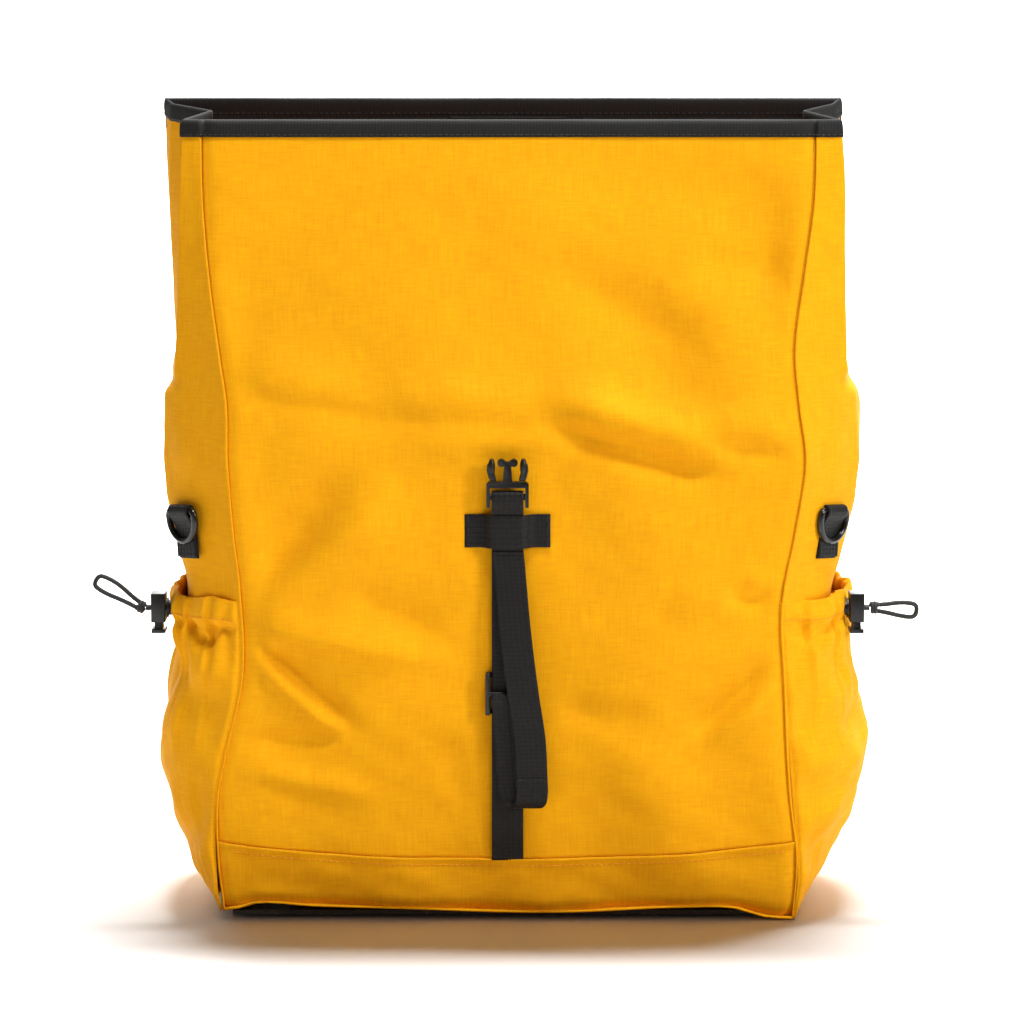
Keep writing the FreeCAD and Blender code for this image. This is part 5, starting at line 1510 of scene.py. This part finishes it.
class BAG_OT_ring_tabs(PieceOperator, bpy.types.Operator):
    """Makes the webbing tabs that hold the D-rings"""

    bl_idname = "bag.ring_tabs"
    bl_label = "D-ring tabs"

    def build(self):
        for side in ("right", "left"):
            joint = [item for item in frame["record"]["behaviour"]["joints"]
                     if item["name"] == side + "_ring_swing"][0]
            centre = np.array(joint["pos_m"])
            axis = np.array(joint["axis"]) * (-1 if side == "right" else 1)
            up = unit(np.cross(np.cross(axis, np.array([0, 0, 1.0])), axis))
            out = unit(np.cross(axis, up))
            if out[1] > 0:
                out = -out
            wrap = 2.75 * MM
            base = -4.3 * MM
            turn = np.linspace(math.pi, 0, 18)
            arc = np.stack([wrap * np.cos(turn), wrap * np.sin(turn)], axis=1)
            rear = np.array([[base, -30 * MM], [base, -9 * MM], [-wrap, -2 * MM]])
            fore = np.array([[wrap, -2 * MM], [base + 2.6 * MM, -8.5 * MM],
                             [base + 1.5 * MM, -12 * MM], [base + 1.5 * MM, -29 * MM]])
            section = np.concatenate([rear, arc, fore])
            path = centre + section[:, 0:1] * out + section[:, 1:2] * up
            path = rounded(path, 1.5 * MM, 4)
            along = unit(np.gradient(path, axis=0))
            face = unit(np.cross(along, np.broadcast_to(axis, path.shape)))
            tab = webbing_strip(side + "_ring_tab_webbing", path, axis, face, 20 * MM)
            finish(tab, "bag", material_for("webbing"), "webbing", side + "_d_ring_tab")


class BAG_OT_back_harness(PieceOperator, bpy.types.Operator):
    """Makes the haul handle, top strap, shoulder straps and their lower webbing"""

    bl_idname = "bag.back_harness"
    bl_label = "Back harness"

    def build(self):
        x_axis = np.array([1.0, 0, 0])
        self.top_strap(x_axis)
        self.handle()
        for side in ("right", "left"):
            self.shoulder(side, x_axis)

    def top_strap(self, x_axis):
        bar = joint_place("socket_swing")
        turn = np.linspace(math.pi, 2 * math.pi, 18)
        radius = 3.1 * MM
        rise = np.array([[0, 60.0, 372], [0, 67.3, 325], [0, 73.3, 290], [0, 76.9, 240],
                         [0, 79.3, 195], [0, 80.6, 180]]) * MM
        around = np.stack([0 * turn, bar[1] + radius * np.cos(turn),
                           bar[2] + radius * np.sin(turn)], axis=1)
        end = np.array([[0, 86.8, 185.0]]) * MM
        path = np.concatenate([rounded(rise, 12 * MM), around, end])
        out = strip_outward(path, x_axis)
        strap = webbing_strip("top_strap_webbing", path, x_axis, out, 20 * MM)
        finish(strap, "bag", material_for("webbing"), "webbing", "top_strap")

    def handle(self):
        low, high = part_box("haul_handle")
        middle = (low[2] + high[2]) / 2
        base = low[1] + 1.4 * MM
        arch = high[1] - 1.4 * MM
        plan = np.array([[57, base / MM], [44, base / MM], [31, base / MM + 13],
                         [14, arch / MM], [-14, arch / MM], [-31, base / MM + 13],
                         [-44, base / MM], [-57, base / MM]]) * MM
        path = np.stack([plan[:, 0], plan[:, 1], np.full(len(plan), middle)], axis=1)
        path = rounded(path, 9 * MM, 9)
        up = np.array([0.0, 0.0, 1.0])
        along = unit(np.gradient(path, axis=0))
        out = unit(np.cross(up, along))
        strip = webbing_strip("haul_handle_webbing", path, up, out, 25 * MM, 2.6 * MM)
        finish(strip, "bag", material_for("webbing"), "webbing", "haul_handle")

    def shoulder(self, side, x_axis):
        """A padded strap: an oval section carried down a curve, edged with binding."""
        low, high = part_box(side + "_shoulder_strap")
        centre = (low[0] + high[0]) / 2
        half = (high[0] - low[0]) / 2
        line = np.array([[0, 70.0, 320], [0, 82.5, 314], [0, 98.5, 288], [0, 107.3, 240],
                         [0, 107.3, 190], [0, 103.3, 140], [0, 97.0, 113]]) * MM
        knots = lengths_along(line)
        path = through(knots, line, np.linspace(0, knots[-1], 110))
        share = np.linspace(0, 1, 110)
        path[:, 0] = centre + 0 * share
        out = strip_outward(path, x_axis)
        out = out * np.sign(out[:, 1:2] + 1e-9)
        angle = np.linspace(0, 2 * math.pi, 57)[:-1]
        round_x = np.sign(np.cos(angle)) * np.abs(np.cos(angle)) ** 0.6
        round_y = np.sign(np.sin(angle)) * np.abs(np.sin(angle)) ** 0.75
        profile = np.stack([half * round_x, 5.2 * MM * round_y], axis=1)
        pad = swept(side + "_shoulder_pad", path, np.broadcast_to(x_axis, path.shape), out,
                    profile)
        finish(pad, "bag", material_for("mesh"), "padding", side + "_shoulder_strap")
        rows = []
        for sign in (-1, 1):
            edge = path + x_axis * sign * (half - 0.5 * MM)
            rows.append(round_tube("edge", edge, 1.5 * MM, (1, 0, 0), 10))
        trim = joined(side + "_shoulder_trim", rows)
        finish(trim, "bag", material_for("black_thread"), "padding")

        run = np.array([[0, 77.5, 8], [0, 79.6, 22], [0, 91.0, 84], [0, 91.0, 108]]) * MM
        run[:, 0] = centre
        run = rounded(run, 10 * MM)
        out = strip_outward(run, x_axis)
        web = webbing_strip(side + "_lower_webbing", run, x_axis, out, 25 * MM)
        finish(web, "bag", material_for("webbing"), "webbing", side + "_shoulder_webbing")


def softened(name, key, slot, edge, swell=0.0):
    """Shows a moulding with its sharp edges rounded over, in place of the plain CAD node."""
    item = frame["nodes"][name]
    mesh = item.data.copy()
    mesh.name = name + "_moulding"
    piece = bpy.data.objects.new(mesh.name, mesh)
    bpy.context.scene.collection.objects.link(piece)
    merge_points(piece, 0.02 * MM)
    if swell:
        fuller = piece.modifiers.new("fuller section", "DISPLACE")
        fuller.strength = swell
        fuller.mid_level = 0.0
    flat = piece.modifiers.new("one face per flat side", "DECIMATE")
    flat.decimate_type = "DISSOLVE"
    flat.angle_limit = math.radians(1.0)
    bevel = piece.modifiers.new("rounded edges", "BEVEL")
    bevel.width = edge
    bevel.segments = 3
    bevel.limit_method = "ANGLE"
    bevel.angle_limit = math.radians(32.0)
    bevel.harden_normals = True
    mesh.polygons.foreach_set("use_smooth", [True] * len(mesh.polygons))
    finish(piece, item["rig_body"], material_for(key), slot, name)


class BAG_OT_hardware(PieceOperator, bpy.types.Operator):
    """Gives the moulded and metal hardware its finish"""

    bl_idname = "bag.hardware"
    bl_label = "Hardware"

    def build(self):
        edges = {"male_buckle": 0.8, "left_buckle_arm": 1.1, "right_buckle_arm": 1.1,
                 "female_buckle": 1.0, "tri_glide": 0.9, "left_ladder_lock": 0.8,
                 "right_ladder_lock": 0.8, "left_lock_barrel": 1.6,
                 "right_lock_barrel": 1.6, "left_lock_plunger": 0.4,
                 "right_lock_plunger": 0.4}
        for name, edge in edges.items():
            softened(name, "hardware", "hardware", edge * MM)
        for side in ("left", "right"):
            softened(side + "_d_ring", "ring", "ring", 0.2 * MM, 0.35 * MM)
            self.arm_pad(side)
            clothe(side + "_cord_eyelet", "eyelet")
            self.lock_spring(side)
            clothe(side + "_hem_elastic", "cord")
            clothe(side + "_cord_strands", "cord")


    def lock_spring(self, side):
        """The lock's spring: a copy of the CAD node's coil, in drawn spring wire."""
        item = frame["nodes"][side + "_lock_spring"]
        spring = bpy.data.objects.new(side + "_lock_coil", item.data.copy())
        bpy.context.scene.collection.objects.link(spring)
        finish(spring, item["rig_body"], material_for("spring"), "spring",
               side + "_lock_spring")
        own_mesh(spring)

    def arm_pad(self, side):
        """The finger pad on a buckle arm: an egg, its height drawn out along the arm."""
        low, high = (np.array(corner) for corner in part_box(side + "_buckle_arm"))
        middle = (low + high) / 2
        polar = np.linspace(0.06, math.pi - 0.06, 17)[:, None]
        around = np.linspace(0, 2 * math.pi, 28, endpoint=False)[None, :]
        wide, deep, tall = 2.1 * MM, 2.6 * MM, 5.4 * MM
        bulge = np.sin(polar) ** 0.8
        points = np.stack([middle[0] + wide * bulge * np.cos(around),
                           middle[1] + deep * bulge * np.sin(around),
                           middle[2] + 2.2 * MM - tall * np.cos(polar) + 0 * around], axis=-1)
        pad = make_mesh(side + "_arm_pad", points, capped_faces(17, 28))
        turn_outwards(pad)
        finish(pad, frame["nodes"][side + "_buckle_arm"]["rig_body"],
               material_for("hardware"), "hardware")


# ------------------------------------------------------------------ panel and registration

OPERATORS = (BAG_OT_stage, BAG_OT_pull_loops, BAG_OT_front_panel, BAG_OT_gussets,
             BAG_OT_back_and_base, BAG_OT_mouth, BAG_OT_pockets, BAG_OT_strap,
             BAG_OT_ring_tabs, BAG_OT_back_harness, BAG_OT_hardware)


class BAG_PT_panel(bpy.types.Panel):
    """Lists the bag's pieces in the sidebar"""

    bl_label = "Dry bag"
    bl_idname = "BAG_PT_panel"
    bl_space_type = "VIEW_3D"
    bl_region_type = "UI"
    bl_category = "Dry bag"

    def draw(self, context):
        for group in (context.scene.bag_sizes, context.scene.bag_colours):
            for name in group.__annotations__:
                self.layout.prop(group, name)
        for operator in OPERATORS:
            self.layout.operator(operator.bl_idname)


CLASSES = (BagSizes, BagColours) + OPERATORS + (BAG_PT_panel,)


def register():
    for item in CLASSES:
        bpy.utils.register_class(item)
    bpy.types.Scene.bag_sizes = PointerProperty(type=BagSizes)
    bpy.types.Scene.bag_colours = PointerProperty(type=BagColours)


def unregister():
    del bpy.types.Scene.bag_sizes
    del bpy.types.Scene.bag_colours
    for item in reversed(CLASSES):
        bpy.utils.unregister_class(item)


def main():
    register()
    for operator in OPERATORS:
        group, name = operator.bl_idname.split(".")
        getattr(getattr(bpy.ops, group), name)()


if __name__ == "__main__":
    main()
